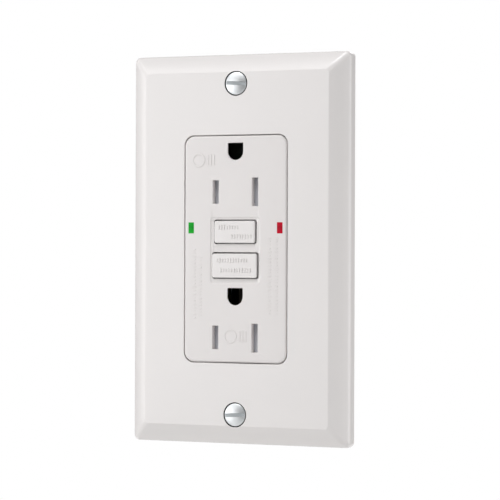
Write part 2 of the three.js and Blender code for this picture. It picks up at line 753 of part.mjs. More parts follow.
function solenoid() {
  const { y, start, end, flange, tube, bore } = SOLENOID;
  const thick = 0.8;
  const bobbin = joined(
    rod("z", [0, y], tube, [start, end]),
    rod("z", [0, y], flange, [start, start + thick]),
    rod("z", [0, y], flange, [end - thick, end]),
  );
  const hole = rod("z", [0, y], bore, [0, 20]);
  piece("solenoid_bobbin", cut(bobbin, hole), FINISH.blackPlastic);
  const winding = cut(
    rod("z", [0, y], flange - 0.2, [start + thick + GAP, end - thick - GAP], 20),
    rod("z", [0, y], tube + GAP, [0, 20]),
  );
  piece("solenoid_winding", winding, FINISH.copper);
  const frame = joined(
    box([-4.8, 4.8], [24.9, 25.6], [start - GAP - thick, end + GAP + thick]),
    box([-4.8, 4.8], [16, 25.6], [start - GAP - thick, start - GAP]),
    box([-4.8, 4.8], [16, 25.6], [end + GAP, end + GAP + thick]),
  );
  piece("solenoid_frame", cut(frame, hole), FINISH.galvanisedSteel);
  piece("trip_plunger", rod("z", [0, y], 1.35, [1.9, 17]), FINISH.springSteel);
}

function boardComponents() {
  piece("varistor", rod("x", [20.6, 26.9], 4, [-14.1, -11.9], 20), FINISH.blueEpoxy);
  piece("capacitor", rod("z", [-6, 19.3], 3, [20.4, 30.6]), FINISH.blackPlastic);
  piece("control_chip", box([-2.6, 2.6], [15.8, 17.4], [-15.8, -11.4]), FINISH.blackPlastic);
}

// ---------------------------------------------------------------- trip mechanism

function tripMechanism() {
  const pinHole = rod("y", [0, RESET.z], PIN_RADIUS + 0.95, [10, 25]); // lets the pin's collar through
  const carriage = cut(box([-9, 9], [17.3, 19.6], [-9.8, 0]), pinHole);
  piece("contact_carriage", carriage, FINISH.greyPlastic);
  const window = box([-2.1, 2.1], [19, 22], [RESET.z - 2.2, RESET.z + 3.8]);
  const latch = cut(box([-3.2, 3.2], [19.9, 20.7], [-9, 1.6]), window);
  piece("latch_plate", latch, FINISH.springSteel);
  for (const [pole, side] of [["hot", -1], ["neutral", 1]]) {
    const arm = sideBox(side, [6.6, 8.8], [16.3, 17], [-9.5, 8.8]);
    piece(`moving_contact_${pole}`, arm, FINISH.copper);
  }
}

// ---------------------------------------------------------------- assembly

wallPlate();
plateScrew("upper", 1, THREE.MathUtils.degToRad(6));
plateScrew("lower", -1, THREE.MathUtils.degToRad(-5));
faceCover();
indicators();
testButton();
resetButton();
OUTLETS.forEach(shutter);
strap();
mountingScrew("upper", 1);
mountingScrew("lower", -1);
rearHousing();
housingScrews();
receptacleContact("hot_contact", -1, FINISH.brass);
receptacleContact("neutral_contact", 1, FINISH.nickelBrass);
terminalPlates("hot", -1, FINISH.brass);
terminalPlates("neutral", 1, FINISH.nickelBrass);
for (const [circuit, end] of [["load", 1], ["line", -1]]) {
  for (const [pole, side, metal] of [["hot", -1, FINISH.brass], ["neutral", 1, FINISH.nickelBrass]]) {
    terminalScrew(`${circuit}_screw_${pole}`, `${circuit}_clamp_${pole}`, side, end, metal);
  }
}
groundScrew();
OUTLETS.forEach(groundClip);
innerFrame();
circuitBoard();
sensingCoils();
solenoid();
boardComponents();
tripMechanism();

export default gfciOutlet;
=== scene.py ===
"""Looks of a duplex outlet with ground fault protection and its wall plate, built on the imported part."""

import json
import logging
import math
from dataclasses import dataclass
from enum import Enum
from functools import lru_cache
from typing import Any, Dict, List, Optional, Sequence, Tuple

import bmesh
import bpy
from mathutils import Matrix, Vector
from mathutils.geometry import delaunay_2d_cdt


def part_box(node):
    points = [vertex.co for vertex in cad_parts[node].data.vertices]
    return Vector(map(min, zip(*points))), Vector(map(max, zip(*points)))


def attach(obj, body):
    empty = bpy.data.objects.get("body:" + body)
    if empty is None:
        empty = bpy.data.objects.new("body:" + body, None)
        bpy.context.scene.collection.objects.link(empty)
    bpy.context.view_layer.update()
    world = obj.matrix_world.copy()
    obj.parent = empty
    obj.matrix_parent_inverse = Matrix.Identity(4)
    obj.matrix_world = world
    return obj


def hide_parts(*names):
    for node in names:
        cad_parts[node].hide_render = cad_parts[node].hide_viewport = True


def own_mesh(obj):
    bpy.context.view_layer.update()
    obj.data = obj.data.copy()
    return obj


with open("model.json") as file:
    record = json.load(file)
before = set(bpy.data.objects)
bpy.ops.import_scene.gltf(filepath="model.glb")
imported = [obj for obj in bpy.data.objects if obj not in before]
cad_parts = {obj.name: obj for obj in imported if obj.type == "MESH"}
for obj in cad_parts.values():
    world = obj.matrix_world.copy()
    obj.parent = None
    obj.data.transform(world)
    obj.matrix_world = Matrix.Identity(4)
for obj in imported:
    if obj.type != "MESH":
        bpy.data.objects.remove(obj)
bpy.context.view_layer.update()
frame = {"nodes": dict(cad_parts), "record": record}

LOG = logging.getLogger("outlet")
MM = 0.001
WELD = 1e-4  # corners closer than this, in millimetres, are one corner
SMOOTH_ANGLE = math.radians(38)  # flatter edges than this are shaded smooth
BODY_OF = {node: body for body, nodes in frame["record"]["behaviour"]["bodies"].items() for node in nodes}

# Places that several pieces share, in millimetres
PLATE_SCREW_Z = 48.42
MOUNT_SCREW_Z = 41.67
CASE_SCREW = (18.2, 31.0)
TERMINAL_Z = 13.6
BLADE_Z = (16.7, -25.9)
GROUND_Z = (28.5, -13.95)
RESET_Z = -4.8
LENS_X, LENS_Z = 14.3, 6.2
GROUND_SCREW = (11, 12.6, 0)
SOLENOID_Y = 20.6

Point = Tuple[float, float]
Range = Tuple[float, float]
Ring = Tuple[Sequence[Point], float]


class Side(Enum):
    """The left or right half of the device, seen from the room."""

    LEFT = -1
    RIGHT = 1


class End(Enum):
    """The upper or lower half of the device."""

    UPPER = 1
    LOWER = -1


class Drive(Enum):
    """What is cut in a screw's head."""

    SLOT = "slot"
    CROSS = "cross"


class Circuit(Enum):
    """Which pair of terminals a wire goes to."""

    LOAD = "load"
    LINE = "line"


def mirrored(sign: int, low: float, high: float) -> Range:
    """Gives a range, or its mirror image where the sign is negative."""
    return (low, high) if sign > 0 else (-high, -low)


def shown(name: str, data: Any) -> bpy.types.Object:
    """Makes an object from its data and links it to the scene."""
    made = bpy.data.objects.new(name, data)
    bpy.context.scene.collection.objects.link(made)
    return made


def as_mesh(form: bmesh.types.BMesh) -> bpy.types.Mesh:
    """Turns an edit mesh into a plain mesh and frees it."""
    mesh = bpy.data.meshes.new("body")
    form.to_mesh(mesh)
    form.free()
    return mesh


# ---------------------------------------------------------------- outlines


@dataclass(frozen=True)
class Rounded:
    """A rectangle with rounded corners, in X and Z millimetres."""

    width: float
    height: float
    radius: float
    x: float = 0.0
    z: float = 0.0
    steps: int = 8

    def points(self, grow: float = 0.0) -> List[Point]:
        """Gives the outline's corners in order.

        Args:
            grow: how far the outline is moved outwards.

        Returns:
            The corners, the same number for any growth.
        """
        radius = max(self.radius + grow, 0.02)
        across, up = self.width / 2 + grow - radius, self.height / 2 + grow - radius
        corners = [(across, up, 0), (-across, up, 90), (-across, -up, 180), (across, -up, 270)]
        made = []
        for cx, cz, start in corners:
            for step in range(self.steps + 1):
                angle = math.radians(start + 90 * step / self.steps)
                made.append((self.x + cx + radius * math.cos(angle), self.z + cz + radius * math.sin(angle)))
        return made


@dataclass(frozen=True)
class Disc:
    """A circle, in X and Z millimetres."""

    radius: float
    x: float = 0.0
    z: float = 0.0
    steps: int = 48

    def points(self, grow: float = 0.0) -> List[Point]:
        """Gives the circle's corners, moved outwards by grow."""
        turn = [2 * math.pi * step / self.steps for step in range(self.steps)]
        radius = self.radius + grow
        return [(self.x + radius * math.cos(a), self.z + radius * math.sin(a)) for a in turn]


@dataclass(frozen=True)
class Drawn:
    """An outline given corner by corner."""

    corners: Sequence[Point]

    def points(self, grow: float = 0.0) -> List[Point]:
        """Gives the corners, which can't grow."""
        return list(self.corners)


@dataclass(frozen=True)
class GroundHole:
    """The opening for a plug's ground pin: round below and flat above."""

    z: float
    radius: float = 2.47
    flat: float = 2.55
    x: float = 0.0
    steps: int = 28

    def points(self, grow: float = 0.0) -> List[Point]:
        """Gives the opening's corners, moved outwards by grow."""
        radius, top = self.radius + grow, self.flat + grow
        turn = [math.pi * step / self.steps for step in range(self.steps + 1)]
        made = [(-radius * math.cos(a), self.z - radius * math.sin(a)) for a in turn]
        soft = 0.25  # the two upper corners are slightly rounded
        return made + [
            (radius, self.z + top - soft),
            (radius - soft * 0.3, self.z + top - soft * 0.3),
            (radius - soft, self.z + top),
            (-radius + soft, self.z + top),
            (-radius + soft * 0.3, self.z + top - soft * 0.3),
            (-radius, self.z + top - soft),
        ]


def filleted(corners: Sequence[Tuple[float, float, float]], steps: int = 4) -> List[Point]:
    """Rounds each corner of an outline by its own radius.

    Args:
        corners: place and radius of each corner, in order.
        steps: sides across a rounded corner.

    Returns:
        The outline's points.
    """
    made: List[Point] = []
    for number, (x, z, radius) in enumerate(corners):
        if radius <= 0:
            made.append((x, z))
            continue
        here = Vector((x, z))
        before, after = Vector(corners[number - 1][:2]), Vector(corners[(number + 1) % len(corners)][:2])
        start, stop = here + (before - here).normalized() * radius, here + (after - here).normalized() * radius
        for step in range(steps + 1):
            t = step / steps
            point = start * (1 - t) ** 2 + here * 2 * t * (1 - t) + stop * t**2
            made.append((point.x, point.y))
    return made


def inside(point: Vector, loop: Sequence[Point]) -> bool:
    """Says whether a point lies inside a closed loop.

    Args:
        point: the point tested.
        loop: the loop's corners in order.

    Returns:
        True if it is inside.
    """
    found = False
    for (ax, az), (bx, bz) in zip(loop, list(loop[1:]) + [loop[0]]):
        if (az > point.y) != (bz > point.y) and point.x < ax + (bx - ax) * (point.y - az) / (bz - az):
            found = not found
    return found


# ---------------------------------------------------------------- solids


class Solid:
    """A closed body in millimetres, which others can cut or be joined to."""

    def __init__(self, mesh: bpy.types.Mesh) -> None:
        """Keeps the mesh that holds the body."""
        self.mesh = mesh

    @classmethod
    def of(cls, form: bmesh.types.BMesh) -> "Solid":
        """Makes a body from an edit mesh, with its doubles merged and its faces turned outwards."""
        bmesh.ops.remove_doubles(form, verts=form.verts, dist=WELD)
        bmesh.ops.recalc_face_normals(form, faces=form.faces)
        return cls(as_mesh(form))

    @classmethod
    def box(cls, x: Range, y: Range, z: Range) -> "Solid":
        """Makes a box between two corners."""
        form = bmesh.new()
        size = Matrix.Diagonal((x[1] - x[0], y[1] - y[0], z[1] - z[0], 1))
        middle = Matrix.Translation(((x[0] + x[1]) / 2, (y[0] + y[1]) / 2, (z[0] + z[1]) / 2))
        bmesh.ops.create_cube(form, size=1, matrix=middle @ size)
        return cls.of(form)

    @classmethod
    def pillar(cls, outline: Any, profile: Sequence[Point]) -> "Solid":
        """Makes a body whose outline grows and shrinks through pairs of growth and Y."""
        shell = Shell()
        shell.sweep(outline, profile)
        for grow, y in (profile[0], profile[-1]):
            shell.cap(y, outline.points(grow))
        return shell.solid()

    @classmethod
    def prism(cls, outline: Any, y: Range) -> "Solid":
        """Makes a body with one outline through a range of Y."""
        return cls.pillar(outline, [(0, y[0]), (0, y[1])])

    @classmethod
    def strip(cls, points: Sequence[Point], half: float) -> "Solid":
        """Makes a body with one outline, in Y and Z, through both ways from the middle plane."""
        body = cls.prism(Drawn([(-y, z) for y, z in points]), (-half, half))
        return body.moved(Matrix.Rotation(-math.pi / 2, 4, "Z"))

    @classmethod
    def lathe(cls, profile: Sequence[Point], place: Matrix, steps: int = 48) -> "Solid":
        """Turns a profile about a line.

        Args:
            profile: pairs of radius and station along the line, from axis to axis or closed.
            place: takes the local Z axis to that line.
            steps: sides of the round.

        Returns:
            The turned body.
        """
        form = bmesh.new()
        rings = []
        for radius, station in profile:
            if radius < WELD:
                rings.append([form.verts.new((0, 0, station))])
                continue
            turn = [2 * math.pi * step / steps for step in range(steps)]
            rings.append([form.verts.new((radius * math.cos(a), radius * math.sin(a), station)) for a in turn])
        for near, far in zip(rings, rings[1:]):
            for step in range(steps):
                after = (step + 1) % steps
                if len(near) == 1 and len(far) == 1:
                    continue
                if len(near) == 1:
                    form.faces.new((near[0], far[step], far[after]))
                elif len(far) == 1:
                    form.faces.new((near[step], far[0], near[after]))
                else:
                    form.faces.new((near[step], far[step], far[after], near[after]))
        form.transform(place)
        return cls.of(form)

    @classmethod
    def from_node(cls, node: str) -> "Solid":
        """Copies a CAD node's body, merged, in millimetres."""
        form = bmesh.new()
        form.from_mesh(frame["nodes"][node].data)
        form.transform(Matrix.Scale(1 / MM, 4))
        bmesh.ops.remove_doubles(form, verts=form.verts, dist=WELD * 10)
        return cls(as_mesh(form))

    def _combined(self, operation: str, tools: Sequence["Solid"]) -> "Solid":
        """Runs one boolean operation with each tool in turn."""
        holder = shown("work", self.mesh)
        helpers = [shown("tool", tool.mesh) for tool in tools]
        for helper in helpers:
            step = holder.modifiers.new("step", "BOOLEAN")
            step.operation, step.solver, step.object = operation, "MANIFOLD", helper
        result = Solid(evaluated_mesh(holder))
        for item in helpers:
            bpy.data.objects.remove(item)
        return result

    def cut(self, *tools: "Solid") -> "Solid":
        """Takes the tools' bodies away from this one."""
        return self._combined("DIFFERENCE", tools)

    def join(self, *others: "Solid") -> "Solid":
        """Fuses this body with others that touch it."""
        return self._combined("UNION", others)

    def beside(self, *others: "Solid") -> "Solid":
        """Adds others as closed bodies of their own in the same mesh."""
        form = bmesh.new()
        for item in [self, *others]:
            form.from_mesh(item.mesh)
        return Solid(as_mesh(form))

    def moved(self, place: Matrix) -> "Solid":
        """Takes the body to another place."""
        self.mesh.transform(place)
        return self

    def softened(self, width: float, segments: int = 2) -> "Solid":
        """Rounds every edge, by less where a thin wall leaves no room.

        Args:
            width: width of the rounded edges, in millimetres.
            segments: steps across a rounded edge.

        Returns:
            The softened body.
        """
        form = bmesh.new()
        form.from_mesh(self.mesh)
        bmesh.ops.remove_doubles(form, verts=form.verts, dist=WELD * 10)
        bmesh.ops.dissolve_limit(form, angle_limit=math.radians(1), verts=form.verts, edges=form.edges)
        form.to_mesh(self.mesh)
        form.free()
        for share in (1.0, 0.75, 0.55, 0.4, 0.28, 0.18):
            work = shown("work", self.mesh)
            soft = work.modifiers.new("edges", "BEVEL")
            soft.width, soft.segments = width * share, segments
            soft.limit_method, soft.angle_limit = "ANGLE", SMOOTH_ANGLE
            soft.use_clamp_overlap = False
            made = Solid(evaluated_mesh(work))
            if not made.folded():
                return made
        LOG.warning("an edge stays sharp")
        return self

    def folded(self) -> bool:
        """Says whether any larger face crosses itself."""
        self.mesh.calc_loop_triangles()
        covered: Dict[int, float] = {}
        for piece in self.mesh.loop_triangles:
            covered[piece.polygon_index] = covered.get(piece.polygon_index, 0.0) + piece.area
        slack = 0.02  # square millimetres, and also the share of a face's area, that rounding may cost
        return any(
            abs(covered.get(face.index, 0.0) - face.area) > slack * face.area + slack for face in self.mesh.polygons
        )

    def finish(self, name: str) -> bpy.types.Object:
        """Gives the body even shading and makes it an object in metres.

        Args:
            name: the piece's name.

        Returns:
            The finished object, at the origin.
        """
        self.mesh.transform(Matrix.Scale(MM, 4))
        work = shown(name, self.mesh)
        work.data.shade_smooth()
        work.data.set_sharp_from_angle(angle=SMOOTH_ANGLE)
        even = work.modifiers.new("shading", "WEIGHTED_NORMAL")
        even.keep_sharp = True
        made = shown(name, evaluated_mesh(work))
        made.name = made.data.name = name
        return made


def evaluated_mesh(holder: bpy.types.Object) -> bpy.types.Mesh:
    """Turns an object with modifiers into a plain mesh and removes the object.

    Args:
        holder: the object, linked to the scene.

    Returns:
        The mesh with every modifier's result.
    """
    bpy.context.view_layer.update()
    ready = holder.evaluated_get(bpy.context.evaluated_depsgraph_get())
    mesh = bpy.data.meshes.new_from_object(ready)
    bpy.data.objects.remove(holder)
    return mesh


class Shell:
    """Builds a moulding from walls that run through rings and flat caps with holes."""

    def __init__(self) -> None:
        """Starts an empty edit mesh."""
        self.form = bmesh.new()

    def wall(self, rings: Sequence[Ring]) -> None:
        """Joins rings with the same number of corners, each given with its Y."""
        rows = [[self.form.verts.new((x, y, z)) for x, z in points] for points, y in rings]
        for near, far in zip(rows, rows[1:]):
            for here in range(len(near)):
                after = (here + 1) % len(near)
                self.form.faces.new((near[here], far[here], far[after], near[after]))

    def sweep(self, outline: Any, profile: Sequence[Point]) -> None:
        """Runs a wall round an outline through pairs of growth and Y."""
        self.wall([(outline.points(grow), y) for grow, y in profile])

    def cap(self, y: float, outer: Sequence[Point], holes: Sequence[Sequence[Point]] = ()) -> None:
        """Closes an outline at one Y, except for its holes."""
        loops = [list(outer), *[list(hole) for hole in holes]]
        corners = [Vector(point) for loop in loops for point in loop]
        edges, start = [], 0
        for loop in loops:
            count = len(loop)
            edges += [(start + i, start + (i + 1) % count) for i in range(count)]
            start += count
        points, _, faces, _, _, _ = delaunay_2d_cdt(corners, edges, [], 1, 1e-6)
        made = [self.form.verts.new((point.x, y, point.y)) for point in points]
        for face in faces:
            middle = sum((points[i] for i in face), Vector((0, 0))) / len(face)
            if inside(middle, outer) and not any(inside(middle, hole) for hole in holes):
                self.form.faces.new([made[i] for i in face])

    def solid(self) -> Solid:
        """Welds the walls and caps into one body."""
        return Solid.of(self.form)


def along(direction: Sequence[float], origin: Sequence[float] = (0, 0, 0), spin: float = 0.0) -> Matrix:
    """Makes the matrix that takes the local Z axis to a direction.

    Args:
        direction: where local Z goes, along one of the axes.
        origin: where the local origin goes, in millimetres.
        spin: degrees turned about that direction.

    Returns:
        The matrix.
    """
    ahead = Vector(direction)
    across = Vector((0, 1, 0)) if abs(ahead.x) > 0.5 else Vector((1, 0, 0))
    turn = Matrix((across, ahead.cross(across), ahead)).transposed().to_4x4()
    return Matrix.Translation(origin) @ turn @ Matrix.Rotation(math.radians(spin), 4, "Z")


def inwards(x: float, z: float, y: float = 0.0, spin: float = 0.0) -> Matrix:
    """Makes the matrix that points the local Z axis into the wall, at one place on the front."""
    return along((0, 1, 0), (x, y, z), spin)


# ---------------------------------------------------------------- finishes


def linear(code: str) -> Tuple[float, float, float, float]:
    """Turns an sRGB hex colour to linear RGBA."""
    parts = [int(code[i : i + 2], 16) / 255 for i in (1, 3, 5)]
    return (*[c / 12.92 if c <= 0.04045 else ((c + 0.055) / 1.055) ** 2.4 for c in parts], 1.0)


def per_metre(size: float) -> float:
    """Turns a pattern's size in millimetres to a texture scale."""
    return 1 / (size * MM)


def add(
    tree: bpy.types.NodeTree, kind: str, inputs: Optional[Dict[Any, Any]] = None, **settings: Any
) -> bpy.types.Node:
    """Adds a node with its settings and links.

    Args:
        tree: the tree that it goes in.
        kind: the node's type.
        inputs: a value or an output socket for each input, by name or place.
        settings: the node's own properties.

    Returns:
        The node.
    """
    node = tree.nodes.new(kind)
    for key, value in settings.items():
        setattr(node, key, value)
    for key, value in (inputs or {}).items():
        if isinstance(value, bpy.types.NodeSocket):
            tree.links.new(value, node.inputs[key])
        else:
            node.inputs[key].default_value = value
    return node


def blended(tree: bpy.types.NodeTree, share: bpy.types.NodeSocket, near: Any, far: Any) -> bpy.types.NodeSocket:
    """Mixes two colours by a share from 0 to 1."""
    # A colour mix has its two colours at inputs 6 and 7 and its result at output 2
    return add(tree, "ShaderNodeMix", {"Factor": share, 6: near, 7: far}, data_type="RGBA").outputs[2]


@dataclass(frozen=True)
class Finish:
    """What every finish shares: a tint that drifts, a gloss that varies and a fine surface."""

    name: str
    colour: str
    shade: str
    slot: str = ""  # the record's material slot, for a finish that a whole piece has
    roughness: float = 0.4
    metallic: float = 0.0
    ior: float = 1.5
    drift: float = 14.0  # millimetres between lighter and darker areas
    grain: float = 0.5  # millimetres between the bumps of the surface
    stretch: Tuple[float, float, float] = (1.0, 1.0, 1.0)
    relief: float = 0.004  # millimetres of bump
    gloss_drift: float = 0.05

    @lru_cache(maxsize=None)
    def material(self) -> bpy.types.Material:
        """Builds the material the first time it is asked for."""
        made = bpy.data.materials.new(self.name)
        made.use_nodes = True
        tree = made.node_tree
        tree.nodes.clear()
        seat = add(tree, "ShaderNodeTexCoord").outputs["Object"]
        place = add(tree, "ShaderNodeMapping", {"Vector": seat, "Scale": self.stretch}).outputs["Vector"]
        tint = self.tint(tree, place)
        fine = add(tree, "ShaderNodeTexNoise", {"Vector": place, "Scale": per_metre(self.grain), "Detail": 3.0})
        least, most = max(self.roughness - self.gloss_drift, 0.02), self.roughness + self.gloss_drift
        gloss = add(tree, "ShaderNodeMapRange", {"Value": fine.outputs["Fac"], "To Min": least, "To Max": most})
        relief = {"Height": fine.outputs["Fac"], "Distance": self.relief * MM, "Strength": 1.0}
        bump = add(tree, "ShaderNodeBump", relief)
        shader = add(
            tree,
            "ShaderNodeBsdfPrincipled",
            {
                "Base Color": tint,
                "Roughness": gloss.outputs["Result"],
                "Normal": bump.outputs["Normal"],
                "Metallic": self.metallic,
                "IOR": self.ior,
            },
        )
        self.extra(tree, shader, seat)
        add(tree, "ShaderNodeOutputMaterial", {"Surface": shader.outputs["BSDF"]})
        return made

    def tint(self, tree: bpy.types.NodeTree, place: bpy.types.NodeSocket) -> bpy.types.NodeSocket:
        """Mixes the two colours over broad soft areas."""
        cloud = add(tree, "ShaderNodeTexNoise", {"Vector": place, "Scale": per_metre(self.drift), "Detail": 2.0})
        return blended(tree, cloud.outputs["Fac"], linear(self.colour), linear(self.shade))

    def extra(self, tree: bpy.types.NodeTree, shader: bpy.types.Node, seat: bpy.types.NodeSocket) -> None:
        """Adds what only one kind of finish has."""


@dataclass(frozen=True)
class Moulded(Finish):
    """Injection moulded thermoplastic: even colour, soft gloss, a skin with a very faint orange peel."""

    grain: float = 0.9


@dataclass(frozen=True)
class Lens(Finish):
    """Tinted clear plastic over a small lamp: saturated and glossy, darker across the middle. Its emission glow is
    painted lamp light on a lens and the lamp's own light on a lamp, and a band across the middle gets none.
    """

    glow: float = 0.22
    middle: float = 6.35
    unlit_half: float = 0.1
    span: float = 1.1
    roughness: float = 0.22
    ior: float = 1.2

    def extra(self, tree: bpy.types.NodeTree, shader: bpy.types.Node, seat: bpy.types.NodeSocket) -> None:
        """Paints the glow above and below a band across the middle that gets none."""
        height = add(tree, "ShaderNodeSeparateXYZ", {"Vector": seat}).outputs["Z"]
        off = add(tree, "ShaderNodeMath", {0: height, 1: self.middle * MM}, operation="SUBTRACT").outputs[0]
        away = add(tree, "ShaderNodeMath", {0: off}, operation="ABSOLUTE").outputs[0]
        limits = {"From Min": self.unlit_half * MM, "From Max": self.span * MM, "To Min": 0.0, "To Max": 1.0}
        band = add(tree, "ShaderNodeMapRange", {"Value": away, **limits}).outputs["Result"]
        # Painted light: on a lens the glow stands in for the light of the lamp behind it
        tree.links.new(blended(tree, band, (0, 0, 0, 1), linear(self.colour)), shader.inputs["Emission Color"])
        shader.inputs["Emission Strength"].default_value = self.glow


@dataclass(frozen=True)
class Metal(Finish):
    """Bare or plated metal: reflections broken by fine drawn lines along one direction."""

    metallic: float = 1.0
    roughness: float = 0.3
    grain: float = 0.25
    relief: float = 0.002


@dataclass(frozen=True)
class Laminate(Finish):
    """Glass fibre board under green lacquer, with paler copper tracks that show through."""

    pitch: float = 2.54

    def tint(self, tree: bpy.types.NodeTree, place: bpy.types.NodeSocket) -> bpy.types.NodeSocket:
        """Draws the tracks as bricks with wide joints."""
        flat = add(tree, "ShaderNodeSeparateXYZ", {"Vector": place})
        swap = add(tree, "ShaderNodeCombineXYZ", {"X": flat.outputs["X"], "Y": flat.outputs["Z"]}).outputs["Vector"]
        tracks = add(
            tree,
            "ShaderNodeTexBrick",
            {
                "Vector": swap,
                "Color1": linear(self.colour),
                "Color2": linear(self.colour),
                "Mortar": linear(self.shade),
                "Scale": per_metre(self.pitch),
                "Mortar Size": 0.12,
                "Mortar Smooth": 0.1,
                "Brick Width": 3.0,
                "Row Height": 0.8,
            },
        )
        return tracks.outputs["Color"]


@dataclass(frozen=True)
class Ground(Finish):
    """Matt painted board that the studio floor is made of."""

    drift: float = 300.0


# Flame-retardant polycarbonate, moulded: a clean white that is slightly warm, with a soft sheen
WHITE = Moulded("moulded_white_polycarbonate", "#EDE9E8", "#EAE7E6", "white_plastic", roughness=0.25, relief=0.003)
# The cover's face has the same resin from another mould, a touch duller
FACE_WHITE = Moulded("moulded_white_face", "#E9E5E4", "#E6E2E1", "white_plastic", roughness=0.32, relief=0.003)
# Painted shade: a dull near-black colour on the walls inside narrow gaps and holes, standing in for the shade down
# there, so each gap reads as a dark line
GAP_SHADE = Moulded("unpolished_gap_wall", "#1B1B1C", "#151516", roughness=0.8)
# Acetal, moulded: the shutters' mid grey that shows through the slots
GREY = Moulded("moulded_grey_acetal", "#DDDFE6", "#D5D7DE", "grey_plastic", roughness=0.45)
# Glass-filled nylon: near black, slightly rough
BLACK = Moulded("moulded_black_nylon", "#1F1F21", "#29292B", "black_plastic", roughness=0.55, grain=0.4, relief=0.01)
# Painted lamp light: the lenses glow by emission
GREEN_LENS = Lens("green_lens_acrylic", "#12A329", "#0B7A1B", "green_lens")
RED_LENS = Lens("red_lens_acrylic", "#C50E2C", "#97061D", "red_lens")
GREEN_LAMP = Lens("green_lamp_epoxy", "#5CC873", "#2F9A48", "green_led", glow=0.15)
RED_LAMP = Lens("red_lamp_epoxy", "#E2505A", "#B02834", "red_led", glow=0.15)
# Zinc-plated steel: bright, cool, a little uneven after barrel plating
ZINC = Metal("zinc_plated_steel", "#EEF0F1", "#E2E5E8", "zinc_steel", roughness=0.5, drift=3.0)
# Painted shade: the plating made darker and a little duller on the faces of a screw's slot, standing in for the shade
# down in the slot
SLOT_SHADE_ZINC = Metal("zinc_in_slot", "#B4B8BA", "#A9AEB1", roughness=0.55, drift=1.5)
# Hot-dip galvanised strip: duller, with soft crystal patches
GALVANISED = Metal("galvanised_strip", "#B9BCBE", "#A4A8AB", "galvanised_steel", roughness=0.42, drift=2.5, grain=0.5)
# Hardened spring wire and strip: darker and smooth from drawing
SPRING = Metal("drawn_spring_steel", "#9E9B96", "#87847F", "spring_steel", roughness=0.28, stretch=(1.0, 0.2, 1.0))
# Sheet and strip show the rolling as faint lines along Z
ROLLED = (1.0, 1.0, 0.15)
BRASS = Metal("rolled_brass", "#CFA75B", "#BD9249", "brass", roughness=0.27, drift=5.0, stretch=ROLLED)
NICKEL = Metal("nickel_plated_brass", "#D6D0C3", "#C5BEAF", "nickel_brass", roughness=0.24, drift=5.0, stretch=ROLLED)
# Steel dipped in green dye over zinc: metallic green that marks the ground screw
GREEN_STEEL = Metal("green_dyed_zinc", "#2E8D4C", "#1E7039", "green_screw", roughness=0.36, drift=2.0)
COPPER = Metal("enamelled_copper_wire", "#B4632C", "#8F4618", "copper_winding", roughness=0.22, drift=1.5)
# Copper strip, rolled: pinker and duller than the wire
STRIP = Metal("rolled_copper_strip", "#C07A55", "#A96443", "copper_strip", roughness=0.34, drift=4.0, stretch=ROLLED)
# Vulcanised fibre: brown paper-like washer, matt with flecks
FIBRE = Finish("vulcanised_fibre", "#BB905F", "#A67A49", "fibre", roughness=0.85, drift=0.8, grain=0.3, relief=0.02)
BOARD = Laminate("lacquered_laminate", "#1D6A3B", "#2F8350", "board_laminate", roughness=0.32, relief=0.01)
EPOXY = Moulded("dipped_blue_epoxy", "#2B57AC", "#234A97", "blue_epoxy", roughness=0.25, grain=1.5, relief=0.02)
FLOOR = Ground("matt_white_floor", "#F4F4F3", "#F1F1F0", roughness=0.8, grain=4.0, relief=0.01)


def paint_gap_shade(piece: bpy.types.Object, outlines: Sequence[Any], depth: Range) -> None:
    """Paints shade on the walls inside some openings: a dull near-black colour where the gap lies in shade.

    Args:
        piece: the installed piece.
        outlines: the openings, each a little larger than its walls.
        depth: from which Y to which the walls get the painted shade.
    """
    piece.data.materials.append(GAP_SHADE.material())
    loops = [outline.points() for outline in outlines]
    for face in piece.data.polygons:
        middle = face.center / MM
        if depth[0] < middle.y < depth[1] and abs(face.normal.y) < 0.9:
            if any(inside(Vector((middle.x, middle.z)), loop) for loop in loops):
                face.material_index = 1


def install(solid: Solid, node: str, finish: Finish) -> bpy.types.Object:
    """Finishes a body, dresses it and ties it to the part in the place of a CAD node.

    Args:
        solid: the body, already in place.
        node: the CAD node that it stands for, whose body carries it.
        finish: what it is made of.

    Returns:
        The piece.
    """
    piece = solid.finish(f"{node}_shape")
    piece.data.materials.clear()
    piece.data.materials.append(finish.material())
    for face in piece.data.polygons:
        face.material_index = 0
    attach(piece, BODY_OF[node])
    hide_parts(node)
    LOG.info("%s: %d faces, %s", piece.name, len(piece.data.polygons), finish.name)
    return piece


# ---------------------------------------------------------------- what repeats


